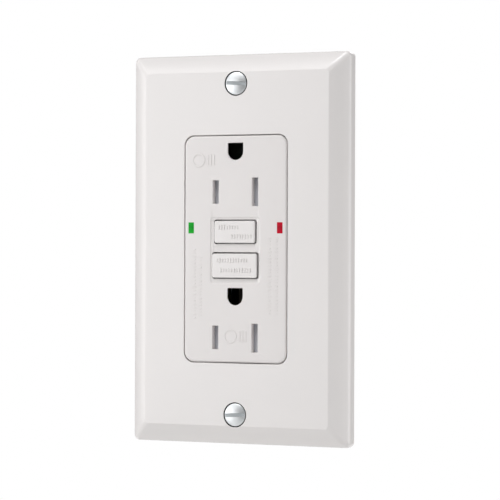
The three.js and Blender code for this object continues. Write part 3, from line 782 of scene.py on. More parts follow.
class Rule:
    """A geometry node tree with named inputs, run once to give a plain mesh in millimetres."""

    def __init__(self, name: str, **defaults: float) -> None:
        """Starts the tree with one named input for each size."""
        self.tree = bpy.data.node_groups.new(name, "GeometryNodeTree")
        face = self.tree.interface
        for key, value in defaults.items():
            kind = "NodeSocketInt" if isinstance(value, int) else "NodeSocketFloat"
            face.new_socket(key, in_out="INPUT", socket_type=kind).default_value = value
        face.new_socket("finish", in_out="INPUT", socket_type="NodeSocketMaterial")
        face.new_socket("mesh", in_out="OUTPUT", socket_type="NodeSocketGeometry")
        self.given = add(self.tree, "NodeGroupInput").outputs

    def add(self, kind: str, inputs: Optional[Dict[Any, Any]] = None, **settings: Any) -> bpy.types.Node:
        """Adds a node to this tree."""
        return add(self.tree, kind, inputs, **settings)

    def close(self, shape: bpy.types.NodeSocket) -> None:
        """Ends the tree in plain geometry with its material."""
        real = self.add("GeometryNodeRealizeInstances", {0: shape}).outputs[0]
        dressed = self.add("GeometryNodeSetMaterial", {"Geometry": real, "Material": self.given["finish"]})
        self.add("NodeGroupOutput", {0: dressed.outputs[0]})

    def run(self, finish: Finish, **values: float) -> Solid:
        """Runs the tree with these sizes.

        Args:
            finish: the material that the tree sets.
            values: a value for each named input that differs from its default.

        Returns:
            The body that it makes.
        """
        holder = shown("work", bpy.data.meshes.new("work"))
        step = holder.modifiers.new("rule", "NODES")
        step.node_group = self.tree
        for item in self.tree.interface.items_tree:
            if item.in_out == "INPUT":
                wanted = finish.material() if item.name == "finish" else values.get(item.name, item.default_value)
                step[item.identifier] = wanted
        return Solid(evaluated_mesh(holder))


@lru_cache(maxsize=None)
def helix_rule() -> Rule:
    """Builds the tree for wire or a thread wound along Z: a coil swept by a small section."""
    rule = Rule("wound_helix", turns=6.0, radius=2.0, length=10.0, wire=0.3, sides=8, steps=24)
    given = rule.given
    ends = {"Start Radius": given["radius"], "End Radius": given["radius"], "Height": given["length"]}
    path = rule.add("GeometryNodeCurveSpiral", {"Resolution": given["steps"], "Rotations": given["turns"], **ends})
    section = rule.add("GeometryNodeCurvePrimitiveCircle", {"Resolution": given["sides"], "Radius": given["wire"]})
    swept = rule.add(
        "GeometryNodeCurveToMesh",
        {"Curve": path.outputs[0], "Profile Curve": section.outputs[0], "Fill Caps": True},
    )
    rule.close(swept.outputs[0])
    return rule


@lru_cache(maxsize=None)
def winding_rule() -> Rule:
    """Builds the tree for wire looped round a ring core, one loop for each turn."""
    rule = Rule("ring_winding", turns=90, radius=5.5, width=4.2, height=3.4, wire=0.14)
    given = rule.given
    loop = rule.add("GeometryNodeCurvePrimitiveQuadrilateral", {"Width": given["width"], "Height": given["height"]})
    soft = rule.add("GeometryNodeFilletCurve", {"Curve": loop.outputs[0], "Radius": 0.7}, mode="POLY")
    soft.inputs["Count"].default_value = 2
    section = rule.add("GeometryNodeCurvePrimitiveCircle", {"Resolution": 4, "Radius": given["wire"]})
    swept = rule.add("GeometryNodeCurveToMesh", {"Curve": soft.outputs[0], "Profile Curve": section.outputs[0]})
    shift = rule.add("ShaderNodeCombineXYZ", {"X": given["radius"]})
    stood = rule.add(
        "GeometryNodeTransform",
        {"Geometry": swept.outputs[0], "Translation": shift.outputs[0], "Rotation": (math.pi / 2, 0.0, 0.0)},
    )
    points = rule.add("GeometryNodePoints", {"Count": given["turns"]})
    number = rule.add("GeometryNodeInputIndex").outputs[0]
    share = rule.add("ShaderNodeMath", {0: number, 1: given["turns"]}, operation="DIVIDE").outputs[0]
    angle = rule.add("ShaderNodeMath", {0: share, 1: 2 * math.pi}, operation="MULTIPLY").outputs[0]
    turn = rule.add("ShaderNodeCombineXYZ", {"Z": angle}).outputs[0]
    placed = rule.add(
        "GeometryNodeInstanceOnPoints",
        {"Points": points.outputs[0], "Instance": stood.outputs[0], "Rotation": turn},
    )
    rule.close(placed.outputs[0])
    return rule


@lru_cache(maxsize=None)
def bars_rule() -> Rule:
    """Builds the tree for a row of raised bars along X that stand up along Z, with varied sizes."""
    rule = Rule("raised_bars", count=8, pitch=1.0, width=0.4, height=1.6, rise=0.2, least=0.6, draft=0.7, seed=1)
    given = rule.given
    step = rule.add("ShaderNodeCombineXYZ", {"X": given["pitch"]}).outputs[0]
    line = rule.add("GeometryNodeMeshLine", {"Count": given["count"], "Offset": step})
    size = rule.add("ShaderNodeCombineXYZ", {"X": given["width"], "Y": given["height"], "Z": given["rise"]})
    bar = rule.add("GeometryNodeMeshCube", {"Size": size.outputs[0]})
    position = rule.add("GeometryNodeInputPosition").outputs[0]
    upper = rule.add("ShaderNodeSeparateXYZ", {"Vector": position}).outputs["Z"]
    top = rule.add("ShaderNodeMath", {0: upper, 1: 0.0}, operation="GREATER_THAN").outputs[0]
    narrow = rule.add("ShaderNodeCombineXYZ", {"X": given["draft"], "Y": given["draft"], "Z": 1.0}).outputs[0]
    tapered = rule.add("ShaderNodeVectorMath", {0: position, 1: narrow}, operation="MULTIPLY").outputs[0]
    drafted = rule.add(
        "GeometryNodeSetPosition", {"Geometry": bar.outputs[0], "Selection": top, "Position": tapered}
    )
    low = rule.add("ShaderNodeCombineXYZ", {"X": given["least"], "Y": given["least"], "Z": 1.0}).outputs[0]
    varied = rule.add(
        "FunctionNodeRandomValue", {0: low, 1: (1.0, 1.0, 1.0), "Seed": given["seed"]}, data_type="FLOAT_VECTOR"
    )
    placed = rule.add(
        "GeometryNodeInstanceOnPoints",
        {"Points": line.outputs[0], "Instance": drafted.outputs[0], "Scale": varied.outputs[0]},
    )
    rule.close(placed.outputs[0])
    return rule


def row_of_bars(origin: Sequence[float], finish: Finish, upright: bool = True, **sizes: float) -> Solid:
    """Makes a row of raised bars that stand out towards the room.

    Args:
        origin: the middle of the first bar, in millimetres.
        finish: the material of the bars.
        upright: True for a row along X, False for one that runs down.
        sizes: the rule's own inputs.

    Returns:
        The bars as one body.
    """
    row = bars_rule().run(finish, **sizes)
    towards_room = Matrix.Rotation(math.pi / 2, 4, "X")
    turn = Matrix.Identity(4) if upright else Matrix.Rotation(-math.pi / 2, 4, "Z")
    return row.moved(Matrix.Translation(origin) @ towards_room @ turn)


# ---------------------------------------------------------------- screws and springs


@dataclass
class Screw:
    """A machine screw: a turned head and shank, a driver cut and a rolled thread."""

    node: str
    profile: Sequence[Point]
    place: Matrix
    thread: Range
    shank: float
    cut_floor: float
    cut_width: float
    finish: Finish
    drive: Drive = Drive.SLOT
    pitch: float = 0.79
    reach: float = 5.0
    hexagon: Optional[Tuple[float, Range]] = None

    def build(self) -> None:
        """Turns the blank, cuts the head and adds the thread's ridge."""
        blank = Solid.lathe(self.profile, self.place)
        ends = [self.profile[0][1], self.profile[-1][1]]
        if self.hexagon:
            across, (low, high) = self.hexagon
            head = [(0, low), (across, low), (across, high - 0.35), (across - 0.5, high), (0, high)]
            blank = blank.join(Solid.lathe(head, self.place, 6))
            ends = [high]
        crown = min(ends, key=lambda station: abs(station - self.cut_floor))
        depth = tuple(sorted((self.cut_floor, crown + math.copysign(1.0, crown - self.cut_floor))))
        long, wide = (-self.reach, self.reach), (-self.cut_width / 2, self.cut_width / 2)
        cuts = [(long, wide)] if self.drive is Drive.SLOT else [(long, wide), (wide, long)]
        for x, y in cuts:
            blank = blank.cut(Solid.box(x, y, depth).moved(self.place))
        low, high = self.thread
        turns = (high - low) / self.pitch
        ridge = helix_rule().run(
            self.finish, turns=turns, radius=self.shank - 0.1, length=high - low, wire=0.34 * self.pitch,
            sides=4, steps=28,
        )
        ridge.moved(self.place @ Matrix.Translation((0, 0, low)))
        piece = install(blank.beside(ridge), self.node, self.finish)
        # Slotted zinc heads get painted shade in the slot
        if self.drive is Drive.SLOT and self.finish is ZINC:
            self._paint_slot_shade(piece, (long, wide, depth))

    def _paint_slot_shade(self, piece: bpy.types.Object, room: Sequence[Range]) -> None:
        """Paints shade on the faces of the slot: a darker, duller zinc."""
        piece.data.materials.append(SLOT_SHADE_ZINC.material())
        back, slack = self.place.inverted(), 0.02
        for face in piece.data.polygons:
            here = back @ (face.center / MM)
            if all(low - slack <= value <= high + slack for (low, high), value in zip(room, here)):
                face.material_index = 1


@dataclass
class Fasteners:
    """All screws of the device and its plate, and the washers that hold the mounting screws."""

    terminal_y: float = 17.2
    terminal_seat: float = 18.5
    ground_seat: float = 36.6
    washer: Range = (0.3, 1.1)

    def build(self) -> None:
        """Builds every screw and washer."""
        for end, tilt in ((End.UPPER, 3.5), (End.LOWER, -4.0)):
            self._plate_screw(end, tilt)
            self._mounting_screw(end)
            self._washer(end)
        self._housing_screws()
        for side, metal, pole in ((Side.LEFT, BRASS, "hot"), (Side.RIGHT, NICKEL, "neutral")):
            for end, circuit in ((End.UPPER, Circuit.LOAD), (End.LOWER, Circuit.LINE)):
                self._terminal_screw(f"{circuit.value}_screw_{pole}", side, end, metal)
        self._ground_screw()

    def _plate_screw(self, end: End, tilt: float) -> None:
        """A slotted oval head that sits in the plate's countersink."""
        crown, rim, radius, shank = -7.55, -6.9, 3.32, 1.5
        shares = (0, 0.15, 0.3, 0.45, 0.6, 0.72, 0.83, 0.92, 0.98)
        dome = [(radius * t, crown + (rim - crown) * t**2.2) for t in shares]
        profile = [*dome, (radius, rim + 0.04), (radius, -6.65), (shank, -4.5), (shank, 4.4), (0.9, 5.4), (0, 5.5)]
        name = f"plate_screw_{end.name.lower()}"
        place = inwards(0, end.value * PLATE_SCREW_Z, spin=tilt)
        Screw(name, profile, place, (-3.6, 4.4), shank, -6.98, 1.05, ZINC).build()

    def _mounting_screw(self, end: End) -> None:
        """A pan head that pulls the strap to the wall box."""
        under, shank = -1.6, 1.65
        profile = [(0, -3.9), (1.6, -3.86), (2.6, -3.76), (3.3, -3.48), (3.7, -3.05), (3.88, -2.5), (3.9, under)]
        profile += [(shank, under), (shank, 20.6), (0.8, 21.9), (0, 22)]
        name = f"mounting_screw_{end.name.lower()}"
        Screw(name, profile, inwards(0, end.value * MOUNT_SCREW_Z), (1.4, 20.5), shank, -2.9, 1.0, ZINC).build()

    def _washer(self, end: End) -> None:
        """A square of fibre with a round hole, pushed on the screw."""
        place = end.value * MOUNT_SCREW_Z
        square, hole = Rounded(9, 9, 1, z=place), Disc(1.95, z=place)
        shell = Shell()
        for outline in (square, hole):
            shell.sweep(outline, [(0, y) for y in self.washer])
        for y in self.washer:
            shell.cap(y, square.points(), [hole.points()])
        install(shell.solid().softened(0.1), f"screw_retainer_{end.name.lower()}", FIBRE)

    @staticmethod
    def _housing_screws() -> None:
        """Four long screws with cross drives that hold cover and housing together."""
        x, z = CASE_SCREW
        shank, under = 1.3, 25.6
        profile = [(0, 3.2), (0.5, 3.2), (shank, 4.6), (shank, under)]
        profile += [(2.4, under), (2.4, 26.5), (2.2, 26.9), (1.7, 27.2), (0, 27.3)]
        for number, (sx, sz) in enumerate(((-1, 1), (1, 1), (-1, -1), (1, -1)), start=1):
            place = inwards(sx * x, sz * z, spin=45 * number)
            Screw(
                f"housing_screw_{number}", profile, place, (4.8, 24.0), shank, 26.3, 0.6, ZINC, Drive.CROSS,
                pitch=1.1, reach=1.35,
            ).build()

    def _terminal_screw(self, name: str, side: Side, end: End, metal: Metal) -> None:
        """A wide slotted head that clamps a wire at the device's side."""
        seat, shank = self.terminal_seat, 2.08
        profile = [(0, 12.2), (1.3, 12.25), (shank, 13), (shank, seat), (3.9, seat), (3.9, seat + 1.3)]
        profile += [(3.7, seat + 1.8), (3.2, seat + 2.15), (2.4, seat + 2.28), (0, seat + 2.3)]
        place = along((side.value, 0, 0), (0, self.terminal_y, end.value * TERMINAL_Z), 8.0 * end.value)
        Screw(name, profile, place, (13.2, seat - 0.6), shank, seat + 1.3, 1.1, metal).build()

    def _ground_screw(self) -> None:
        """A green hexagonal head on the strap's tab."""
        seat, shank = self.ground_seat, 2.08
        profile = [(0, 29.9), (1.3, 29.95), (shank, 30.7), (shank, seat + 0.5), (0, seat + 0.5)]
        Screw(
            "ground_screw", profile, along((0, 0, 1), GROUND_SCREW), (30.8, seat - 0.4), shank, seat + 1.4, 1.0,
            GREEN_STEEL, hexagon=(3.6, (seat, seat + 2.4)),
        ).build()


@dataclass
class Springs:
    """The wire springs behind the reset button and the two shutters."""

    reset_start: float = -1.2
    shutter_y: float = -4.25
    shutter_start: float = 9.5
    shutter_end: float = 14.3
    shutter_wire: float = 0.12
    pressed: float = 0.46  # a shutter spring's length with its shutter open, as a share of its length at rest

    def build(self) -> None:
        """Winds the springs and ties each to what it pushes."""
        coil = helix_rule().run(SPRING, turns=6.5, radius=2.4, length=11.1, wire=0.3, sides=10, steps=32)
        install(coil.moved(inwards(0, RESET_Z, self.reset_start)), "reset_spring", SPRING)
        wire = self.shutter_wire
        length = self.shutter_end - self.shutter_start - 2 * wire
        for end, z in zip(End, BLADE_Z):
            place = end.name.lower()
            coil = helix_rule().run(SPRING, turns=6.0, radius=0.65, length=length, wire=wire, sides=6, steps=18)
            coil.moved(along((1, 0, 0), (self.shutter_start + wire, self.shutter_y, z)))
            piece = install(coil, f"shutter_spring_{place}", SPRING)
            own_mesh(piece)


# ---------------------------------------------------------------- wall plate


@dataclass
class WallPlate:
    """The bevelled decorator plate: flat front, convex bevel, square opening and two countersinks."""

    width: float = 69.85
    height: float = 114.3
    corner: float = 1.6
    front: float = -7.0
    crease: float = 5.4
    slope: float = 0.42  # how steeply the bevel starts, and how fast it steepens
    curve: float = 0.046
    ceiling: float = -4.7
    opening: Rounded = Rounded(33.3, 66.8, 2.9, steps=12)
    rib_x: float = 22.2

    def _outline(self, inset: float) -> Rounded:
        """Gives the plate's outline at an inset, with corners that tighten inwards."""
        radius = self.corner - inset * 0.07
        return Rounded(self.width - 2 * inset, self.height - 2 * inset, radius, steps=12)

    def _bevel(self) -> List[Ring]:
        """Gives the rings from the flat front over the bevel and round to the back edge."""
        rings = [(self.crease + 0.12, self.front)]
        for t in (0.0, 0.1, 0.3, 0.8, 1.4, 2.0, 2.6, 3.2, 3.8, 4.4, 4.8, 5.0):
            rings.append((self.crease - t, self.front + self.slope * t + self.curve * t * t))
        rings += [(0.28, -3.62), (0.17, -3.46), (0.08, -3.27), (0.02, -3.06), (0, -2.8), (0, -0.25), (0.2, 0)]
        rings += [(2.3, 0), (2.3, -2.4), (7.0, self.ceiling)]
        return [(self._outline(inset).points(), y) for inset, y in rings]

    def build(self) -> None:
        """Builds the moulding with its ribs."""
        shell = Shell()
        rings = self._bevel()
        shell.wall(rings)
        shell.sweep(self.opening, [(0.2, self.front), (0.08, -6.97), (0.01, -6.88), (0, -6.7), (0, self.ceiling)])
        shell.cap(self.front, rings[0][0], [self.opening.points(0.2)])
        shell.cap(self.ceiling, rings[-1][0], [self.opening.points()])
        boss = [(0, -5.6), (4.6, -5.6), (4.6, -4.35), (4.45, -4.2), (0, -4.2)]
        seat = [(0, -8), (3.78, -8), (3.78, -7), (3.66, -6.96), (3.6, -6.84), (1.8, -4.6), (1.8, -4), (0, -4)]
        places = [inwards(0, end.value * PLATE_SCREW_Z) for end in End]
        plate = shell.solid().join(*[Solid.lathe(boss, place, 64) for place in places])
        plate = plate.cut(*[Solid.lathe(seat, place, 64) for place in places])
        sizes = {"count": 9, "pitch": 10.0, "width": 1.1, "height": 9.0, "rise": 1.4, "least": 1.0, "draft": 1.0}
        ribs = [row_of_bars((side.value * self.rib_x, -4.3, 40), WHITE, upright=False, **sizes) for side in Side]
        piece = install(plate.beside(*ribs), "wall_plate", WHITE)
        # Painted shade on the walls of the countersinks, round the screw heads
        paint_gap_shade(piece, [Disc(3.8, z=end.value * PLATE_SCREW_Z) for end in End], (-6.92, -4.75))


# ---------------------------------------------------------------- cover and what shows on it


@dataclass
class FaceCover:
    """The receptacle's front: a raised face on a wider skirt, with slots, ground holes and windows."""

    face: Rounded = Rounded(32.8, 66.2, 2.9, steps=12)
    skirt: Rounded = Rounded(42.5, 68.0, 2.0, steps=12)
    front: float = -7.2
    ceiling: float = -5.4
    shelf: float = 0.4  # where the face's sides meet the skirt
    rim: float = 7.3
    wall: float = 1.6
    pad: Rounded = Rounded(15.74, 19.2, 1.0, z=-0.45)
    pad_depth: float = 0.14
    blade_x: float = 6.35
    relieved: float = 0.8  # a ground hole is this much wider at its inner end

    def _openings(self) -> List[Any]:
        """Lists the slots and ground holes."""
        found: List[Any] = []
        for z in BLADE_Z:
            for x, width, height in ((-self.blade_x, 1.9, 6.85), (self.blade_x, 1.95, 8.3)):
                found.append(Rounded(width, height, 0.12, x=x, z=z, steps=3))
        return found + [GroundHole(z) for z in GROUND_Z]

    def _marks(self) -> List[Solid]:
        """Makes the plain raised marks: tick columns at both sides and a small sign at each outlet."""
        y = self.front - 0.02
        tick = {"pitch": 1.0, "width": 0.42, "height": 1.4, "rise": 0.2, "least": 0.45}
        stroke = {"pitch": 0.95, "width": 0.42, "height": 4.2, "rise": 0.2, "least": 0.75}
        columns = ((-13.1, -0.2, 21, 3), (-11.2, -2.5, 18, 4), (11.1, 3.2, 23, 5), (13.3, 3.2, 23, 6))
        marks = [
            row_of_bars((x, y, z), FACE_WHITE, upright=False, count=count, seed=seed, **tick)
            for x, z, count, seed in columns
        ]
        for x, z in ((-10.3, 26.1), (0.1, -25.5)):
            ring = Shell()
            outer, inner = Disc(2.1, x - 1.6, z), Disc(1.6, x - 1.6, z)
            ring.sweep(outer, [(0, y + 0.2), (0, y), (-0.06, y - 0.1)])
            ring.sweep(inner, [(0.06, y - 0.1), (0, y), (0, y + 0.2)])
            ring.cap(y - 0.1, outer.points(-0.06), [inner.points(0.06)])
            ring.cap(y + 0.2, outer.points(), [inner.points()])
            marks += [ring.solid(), row_of_bars((x + 1.5, y, z), FACE_WHITE, count=3, seed=7, **stroke)]
        return marks

    def build(self) -> None:
        """Builds the cover, its bosses and marks, and the notches that let the strap through."""
        shell = Shell()
        face, skirt, front, ceiling = self.face, self.skirt, self.front, self.ceiling
        shelf, rim, wall, roof = self.shelf, self.rim, self.wall, 2.2
        inner = Rounded(face.width - 3.6, face.height - 3.6, 1.4, steps=12)
        shell.sweep(face, [(-0.5, front), (-0.28, front + 0.06), (-0.1, front + 0.2), (0, front + 0.45), (0, shelf)])
        shell.wall([(face.points(), shelf), (skirt.points(-0.3), shelf)])
        shell.sweep(skirt, [(-0.3, shelf), (-0.08, 0.48), (0, 0.7), (0, rim), (-wall, rim), (-wall, roof)])
        shell.wall([(skirt.points(-wall), roof), (inner.points(), roof), (inner.points(), ceiling)])
        openings = self._openings()
        widths = [self.relieved if isinstance(opening, GroundHole) else 0.0 for opening in openings]
        lip = [(0.16, front), (0.05, front + 0.05), (0, front + 0.18), (0, front + 0.4)]
        for opening, grown in zip(openings, widths):
            shell.sweep(opening, [*lip, (grown, ceiling)])
        buttons = [button.hole() for button in (TEST_BUTTON, RESET_BUTTON)]
        floor = front + self.pad_depth
        shell.sweep(self.pad, [(0.22, front), (0.12, front + 0.03), (-0.02, floor - 0.03), (-0.12, floor)])
        for button in buttons:
            shell.sweep(button, [(0.05, floor), (0.01, floor + 0.02), (0, floor + 0.06), (0, ceiling)])
        shell.cap(floor, self.pad.points(-0.12), [button.points(0.05) for button in buttons])
        holes = [opening.points(0.16) for opening in openings]
        shell.cap(front, face.points(-0.5), [self.pad.points(0.22), *holes])
        wide = [opening.points(grown) for opening, grown in zip(openings, widths)]
        shell.cap(ceiling, inner.points(), [*wide, *[button.points() for button in buttons]])
        cover = shell.solid()
        boss = [(0, 1.2), (2.6, 1.2), (2.6, rim), (1.6, rim), (1.6, 2), (0, 2)]
        x, z = CASE_SCREW
        for sx, sz in ((-1, -1), (-1, 1), (1, -1), (1, 1)):
            cover = cover.beside(Solid.lathe(boss, inwards(sx * x, sz * z), 32))
        tools = [Solid.box((-8.3, 8.3), (5.7, 8), mirrored(end.value, 31, 35)) for end in End]
        for side in Side:
            window = Rounded(2.0, 3.45, 0.15, x=side.value * LENS_X, z=LENS_Z, steps=3)
            tools.append(Solid.prism(window, (-8, 4)))
        piece = install(cover.cut(*tools).beside(*self._marks()), "face_cover", FACE_WHITE)
        # Painted shade on the walls of the button wells and of the ground holes
        wells = [Rounded(hole.width + 0.3, hole.height + 0.3, 0.8, z=hole.z) for hole in buttons]
        paint_gap_shade(piece, wells, (floor + 0.05, ceiling))
        paint_gap_shade(piece, [GroundHole(z, 3.4, 3.4) for z in GROUND_Z], (front + 0.4, ceiling))


@dataclass(frozen=True)
class PushButton:
    """A rectangular push button: a cap with soft edges, rows of raised bars and a flange."""

    name: str
    width: float
    height: float
    z: float
    front: float
    back: float
    flange: Tuple[Range, Range, Range]
    rows: Sequence[Tuple[float, float, int, int]]
    gap: float = 0.35
    slack: float = 0.05

    def hole(self) -> Rounded:
        """Gives the hole that the button slides in."""
        return Rounded(self.width + 2 * self.gap, self.height + 2 * self.gap, 0.7, z=self.z, steps=5)

    def build(self) -> None:
        """Builds the cap from shrinking rings, resting low and left in its hole, and adds the bars."""
        outline = Rounded(self.width, self.height, 0.6, x=-self.slack, z=self.z - self.slack, steps=5)
        rounding = [(-0.2, 0.0), (-0.11, 0.02), (-0.04, 0.07), (-0.01, 0.13), (0, 0.22)]
        cap = Solid.pillar(outline, [*[(grow, self.front + y) for grow, y in rounding], (0, self.back)])
        sizes = {"pitch": 0.86, "width": 0.44, "height": 1.8, "rise": 0.34, "least": 0.55}
        bars = [
            row_of_bars((start, self.front - 0.02, z), WHITE, count=count, seed=seed, **sizes)
            for start, z, count, seed in self.rows
        ]
        install(cap.beside(Solid.box(*self.flange).softened(0.15), *bars), self.name, WHITE)


# The last item of each lists the rows of bars: start, height, count and seed
TEST_BUTTON = PushButton(
    "test_button", 13.0, 6.45, 5.06, -7.6, -3.4, ((-7.6, 7.6), (-4.9, -3.4), (1.2, 8.9)),
    ((-5.1, 6.35, 8, 11), (-0.9, 3.7, 8, 12)),
)
RESET_BUTTON = PushButton(
    "reset_button", 14.3, 7.07, RESET_Z, -7.7, -1.9, ((-8.0, 8.0), (-3.1, -1.9), (-9.1, -0.5)),
    ((-5.6, -3.3, 12, 13), (-4.4, -6.2, 12, 14)),
)


@dataclass
class FrontDetails:
    """The lenses with their lamps, the shutters and the pin behind the reset button."""

    lens_front: float = -7.25
    lens_back: float = 3.5

    def build(self) -> None:
        """Builds each small piece."""
        front = self.lens_front
        rounding = [(-0.12, front), (-0.03, front + 0.04), (0, front + 0.15), (0, self.lens_back)]
        dome = [(0, 3.9), (0.5, 3.96), (0.95, 4.2), (1.25, 4.6), (1.35, 5.1)]
        dome += [(1.35, 7.0), (1.6, 7.0), (1.6, 7.4), (0, 7.4)]
        for side, colour, lens, lamp in (
            (Side.LEFT, "green", GREEN_LENS, GREEN_LAMP),
            (Side.RIGHT, "red", RED_LENS, RED_LAMP),
        ):
            x = side.value * LENS_X
            outline = Rounded(1.85, 3.3, 0.12, x=x, z=LENS_Z, steps=3)
            install(Solid.pillar(outline, rounding), f"indicator_lens_{colour}", lens)
            install(Solid.lathe(dome, inwards(x, LENS_Z), 32), f"indicator_led_{colour}", lamp)
        for end in End:
            name = f"shutter_{end.name.lower()}"
            install(Solid.from_node(name).softened(0.12), name, GREY)
        pin = [(0, -1.6), (1.0, -1.6), (1.1, -1.5), (1.1, 20.9)]
        pin += [(1.35, 21.1), (1.7, 21.3), (1.7, 21.7), (1.2, 22), (0, 22)]
        install(Solid.lathe(pin, inwards(0, RESET_Z), 40), "reset_pin", SPRING)


# ---------------------------------------------------------------- strap and housing


@dataclass
class MountingStrap:
    """The galvanised strap: ears with wings, cranked ends, a spine behind the cover and a ground tab."""

    half: float = 8.0
    thick: float = 1.3
    bend: float = 35.0
    ear_end: float = 53.0
    wing_start: float = 44.5
    wing: float = 16.5
    front: float = 6.0

    def build(self) -> None:
        """Joins the strip's stretches, then punches the holes."""
        depth = (self.front, self.front + self.thick)
        stretches = [(3.5, 11, 22.4), (10.5, -11, 11.1), (5, -19.5, -10.9), (3.5, -31.1, -19.4)]
        parts = [Solid.box((-w, w), depth, (a, b)) for w, a, b in stretches]
        strap = parts[0].join(*parts[1:]).cut(Solid.box((-8.3, 8.3), (5, 8), (-9.3, 9.5)))
        for end, start in ((End.UPPER, 22.3), (End.LOWER, 31.0)):
            strap = self._with_ear(strap, end.value, start)
        strap = strap.join(Solid.box((self.half - 0.5, 15), (0.3, 16.4), (self.bend, self.bend + self.thick)))
        tools = [Solid.lathe([(0, 34), (2.38, 34), (2.38, 37), (0, 37)], along((0, 0, 1), GROUND_SCREW), 40)]
        tools += [Solid.prism(Disc(3.1, z=z), (5, 8)) for z in GROUND_Z]
        install(strap.cut(*tools).softened(0.18), "mounting_strap", GALVANISED)

    def _with_ear(self, strap: Solid, sign: int, start: float) -> Solid:
        """Adds one cranked end with its ear, wings, holes and break-off scores.

        Args:
            strap: the strap so far.
            sign: 1 for the upper end, -1 for the lower.
            start: where this end's wide part begins, from the middle.

        Returns:
            The strap with that end.
        """
        half, thick, front, bend = self.half, self.thick, self.front, self.bend
        middle = sign * (self.ear_end + self.wing_start) / 2
        wings = Rounded(2 * self.wing, self.ear_end - self.wing_start, 2, z=middle)
        crank = [
            (front, start, 0), (front + thick, start, 0), (front + thick, bend + thick, 1.4), (0, bend + thick, 0.3),
            (0, 45, 0), (-thick, 45, 0), (-thick, bend, 1.4), (front, bend, 0.3),
        ]
        strip = Solid.strip(filleted([(y, sign * z, radius) for y, z, radius in crank]), half)
        strap = strap.join(strip, Solid.prism(wings, (-thick, 0)))
        through = (-2, 1)
        tools = [
            Solid.prism(Rounded(6.8, 4.2, 2.05, z=sign * MOUNT_SCREW_Z), through),
            Solid.prism(Disc(1.8, z=sign * PLATE_SCREW_Z), through),
        ]
        for side in Side:
            tools.append(Solid.prism(Disc(1.6, side.value * 11.5, sign * (self.wing_start + 4.2)), through))
            score = mirrored(sign, self.wing_start - 0.5, self.ear_end + 0.5)
            tools.append(Solid.box(mirrored(side.value, 8.4, 8.8), (-0.45, 1), score))
        return strap.cut(*tools)


@dataclass
class RearHousing:
    """The moulded body behind the strap: terminal pockets, screw wells, wire holes and cooling ribs."""

    outline: Rounded = Rounded(42.5, 68.0, 2.5, steps=12)
    front: float = 7.6
    back: float = 27.5
    wall: float = 1.6
    edge: float = 21.25
    pocket_inner: float = 11.5
    pocket_z: Range = (6.1, 21.1)
    pocket_y: Range = (10.6, 24.6)
    lining: float = 1.2
    wire_x: float = 15.85

    def build(self) -> None:
        """Moulds the tub, adds linings and bosses, then cuts pockets, wells and holes."""
        back, front, wall, lining = self.back, self.front, self.wall, self.lining
        room = Rounded(self.outline.width - 2 * wall, self.outline.height - 2 * wall, 1.2)
        tub = Solid.prism(self.outline, (front, back)).cut(Solid.prism(room, (7, back - wall)))
        low, high = self.pocket_z
        y0, y1 = self.pocket_y
        quarters = [(side.value, end.value) for side in Side for end in End]
        corners = [(sx * CASE_SCREW[0], sz * CASE_SCREW[1]) for sx in (-1, 1) for sz in (-1, 1)]
        added = [
            Solid.box(
                mirrored(s, self.pocket_inner - lining, self.edge),
                (y0 - lining, y1 + lining + 0.2),
                mirrored(e, low - lining, high + lining),
            )
            for s, e in quarters
        ]
        added.append(Solid.box((5.6, 16.2), (8.0, 17.2), (28.2, 34)))
        added += [Solid.prism(Disc(2.6, x, z, 32), (front, 26)) for x, z in corners]
        tools = []
        for s, e in quarters:
            tools.append(Solid.box(mirrored(s, self.pocket_inner, self.edge + 1), (y0, y1), mirrored(e, low, high)))
            tools.append(Solid.box(mirrored(s, 16.9, 18.5), (y0 - 2.2, y0 + 1), mirrored(e, 8.7, 16.3)))
            for shift in (-4, 4):
                tools.append(Solid.prism(Disc(1.5, s * self.wire_x, e * (TERMINAL_Z + shift), 32), (24, 28)))
        tools.append(Solid.box((6.8, 15), (9.2, 16), (29.4, 35)))
        for x, z in corners:
            tools.append(Solid.prism(Disc(1.6, x, z, 32), (7, 27)))
            tools.append(Solid.prism(Disc(2.8, x, z, 32), (25.3, 28)))
        for s, e in quarters:
            tools.append(Solid.prism(Rounded(3.4, 1.1, 0.3, s * self.wire_x, e * TERMINAL_Z, 3), (27.1, 28)))
        tools.append(Solid.prism(Rounded(19, 40, 1.2), (27.05, 28)))
        sizes = {"count": 8, "pitch": 5.0, "width": 0.9, "height": 6.0, "rise": 0.5, "least": 1.0, "draft": 1.0}
        ribs = [row_of_bars((x, 27.2, 17.5), WHITE, upright=False, **sizes) for x in (-5, 5)]
        install(tub.join(*added).cut(*tools).softened(0.2).beside(*ribs), "rear_housing", WHITE)


# ---------------------------------------------------------------- stamped metal and internal mouldings


@dataclass
class StampedPieces:
    """Pieces whose CAD shape is right: they get softened edges and a real finish."""

    bevel: float = 0.12
    pieces: Sequence[Tuple[str, Finish]] = (
        ("hot_contact", BRASS), ("neutral_contact", NICKEL), ("load_terminal_hot", BRASS),
        ("load_terminal_neutral", NICKEL), ("line_terminal_hot", BRASS), ("line_terminal_neutral", NICKEL),
        ("load_clamp_hot", ZINC), ("load_clamp_neutral", ZINC), ("line_clamp_hot", ZINC),
        ("line_clamp_neutral", ZINC), ("ground_clamp", ZINC), ("ground_clip_upper", BRASS),
        ("ground_clip_lower", BRASS), ("test_blade", SPRING), ("inner_frame", BLACK), ("circuit_board", BOARD),
        ("solenoid_frame", GALVANISED), ("contact_carriage", GREY), ("moving_contact_hot", STRIP),
        ("moving_contact_neutral", STRIP), ("latch_plate", SPRING),
    )

    def build(self) -> None:
        """Softens and dresses each piece."""
        for node, finish in self.pieces:
            install(Solid.from_node(node).softened(self.bevel), node, finish)


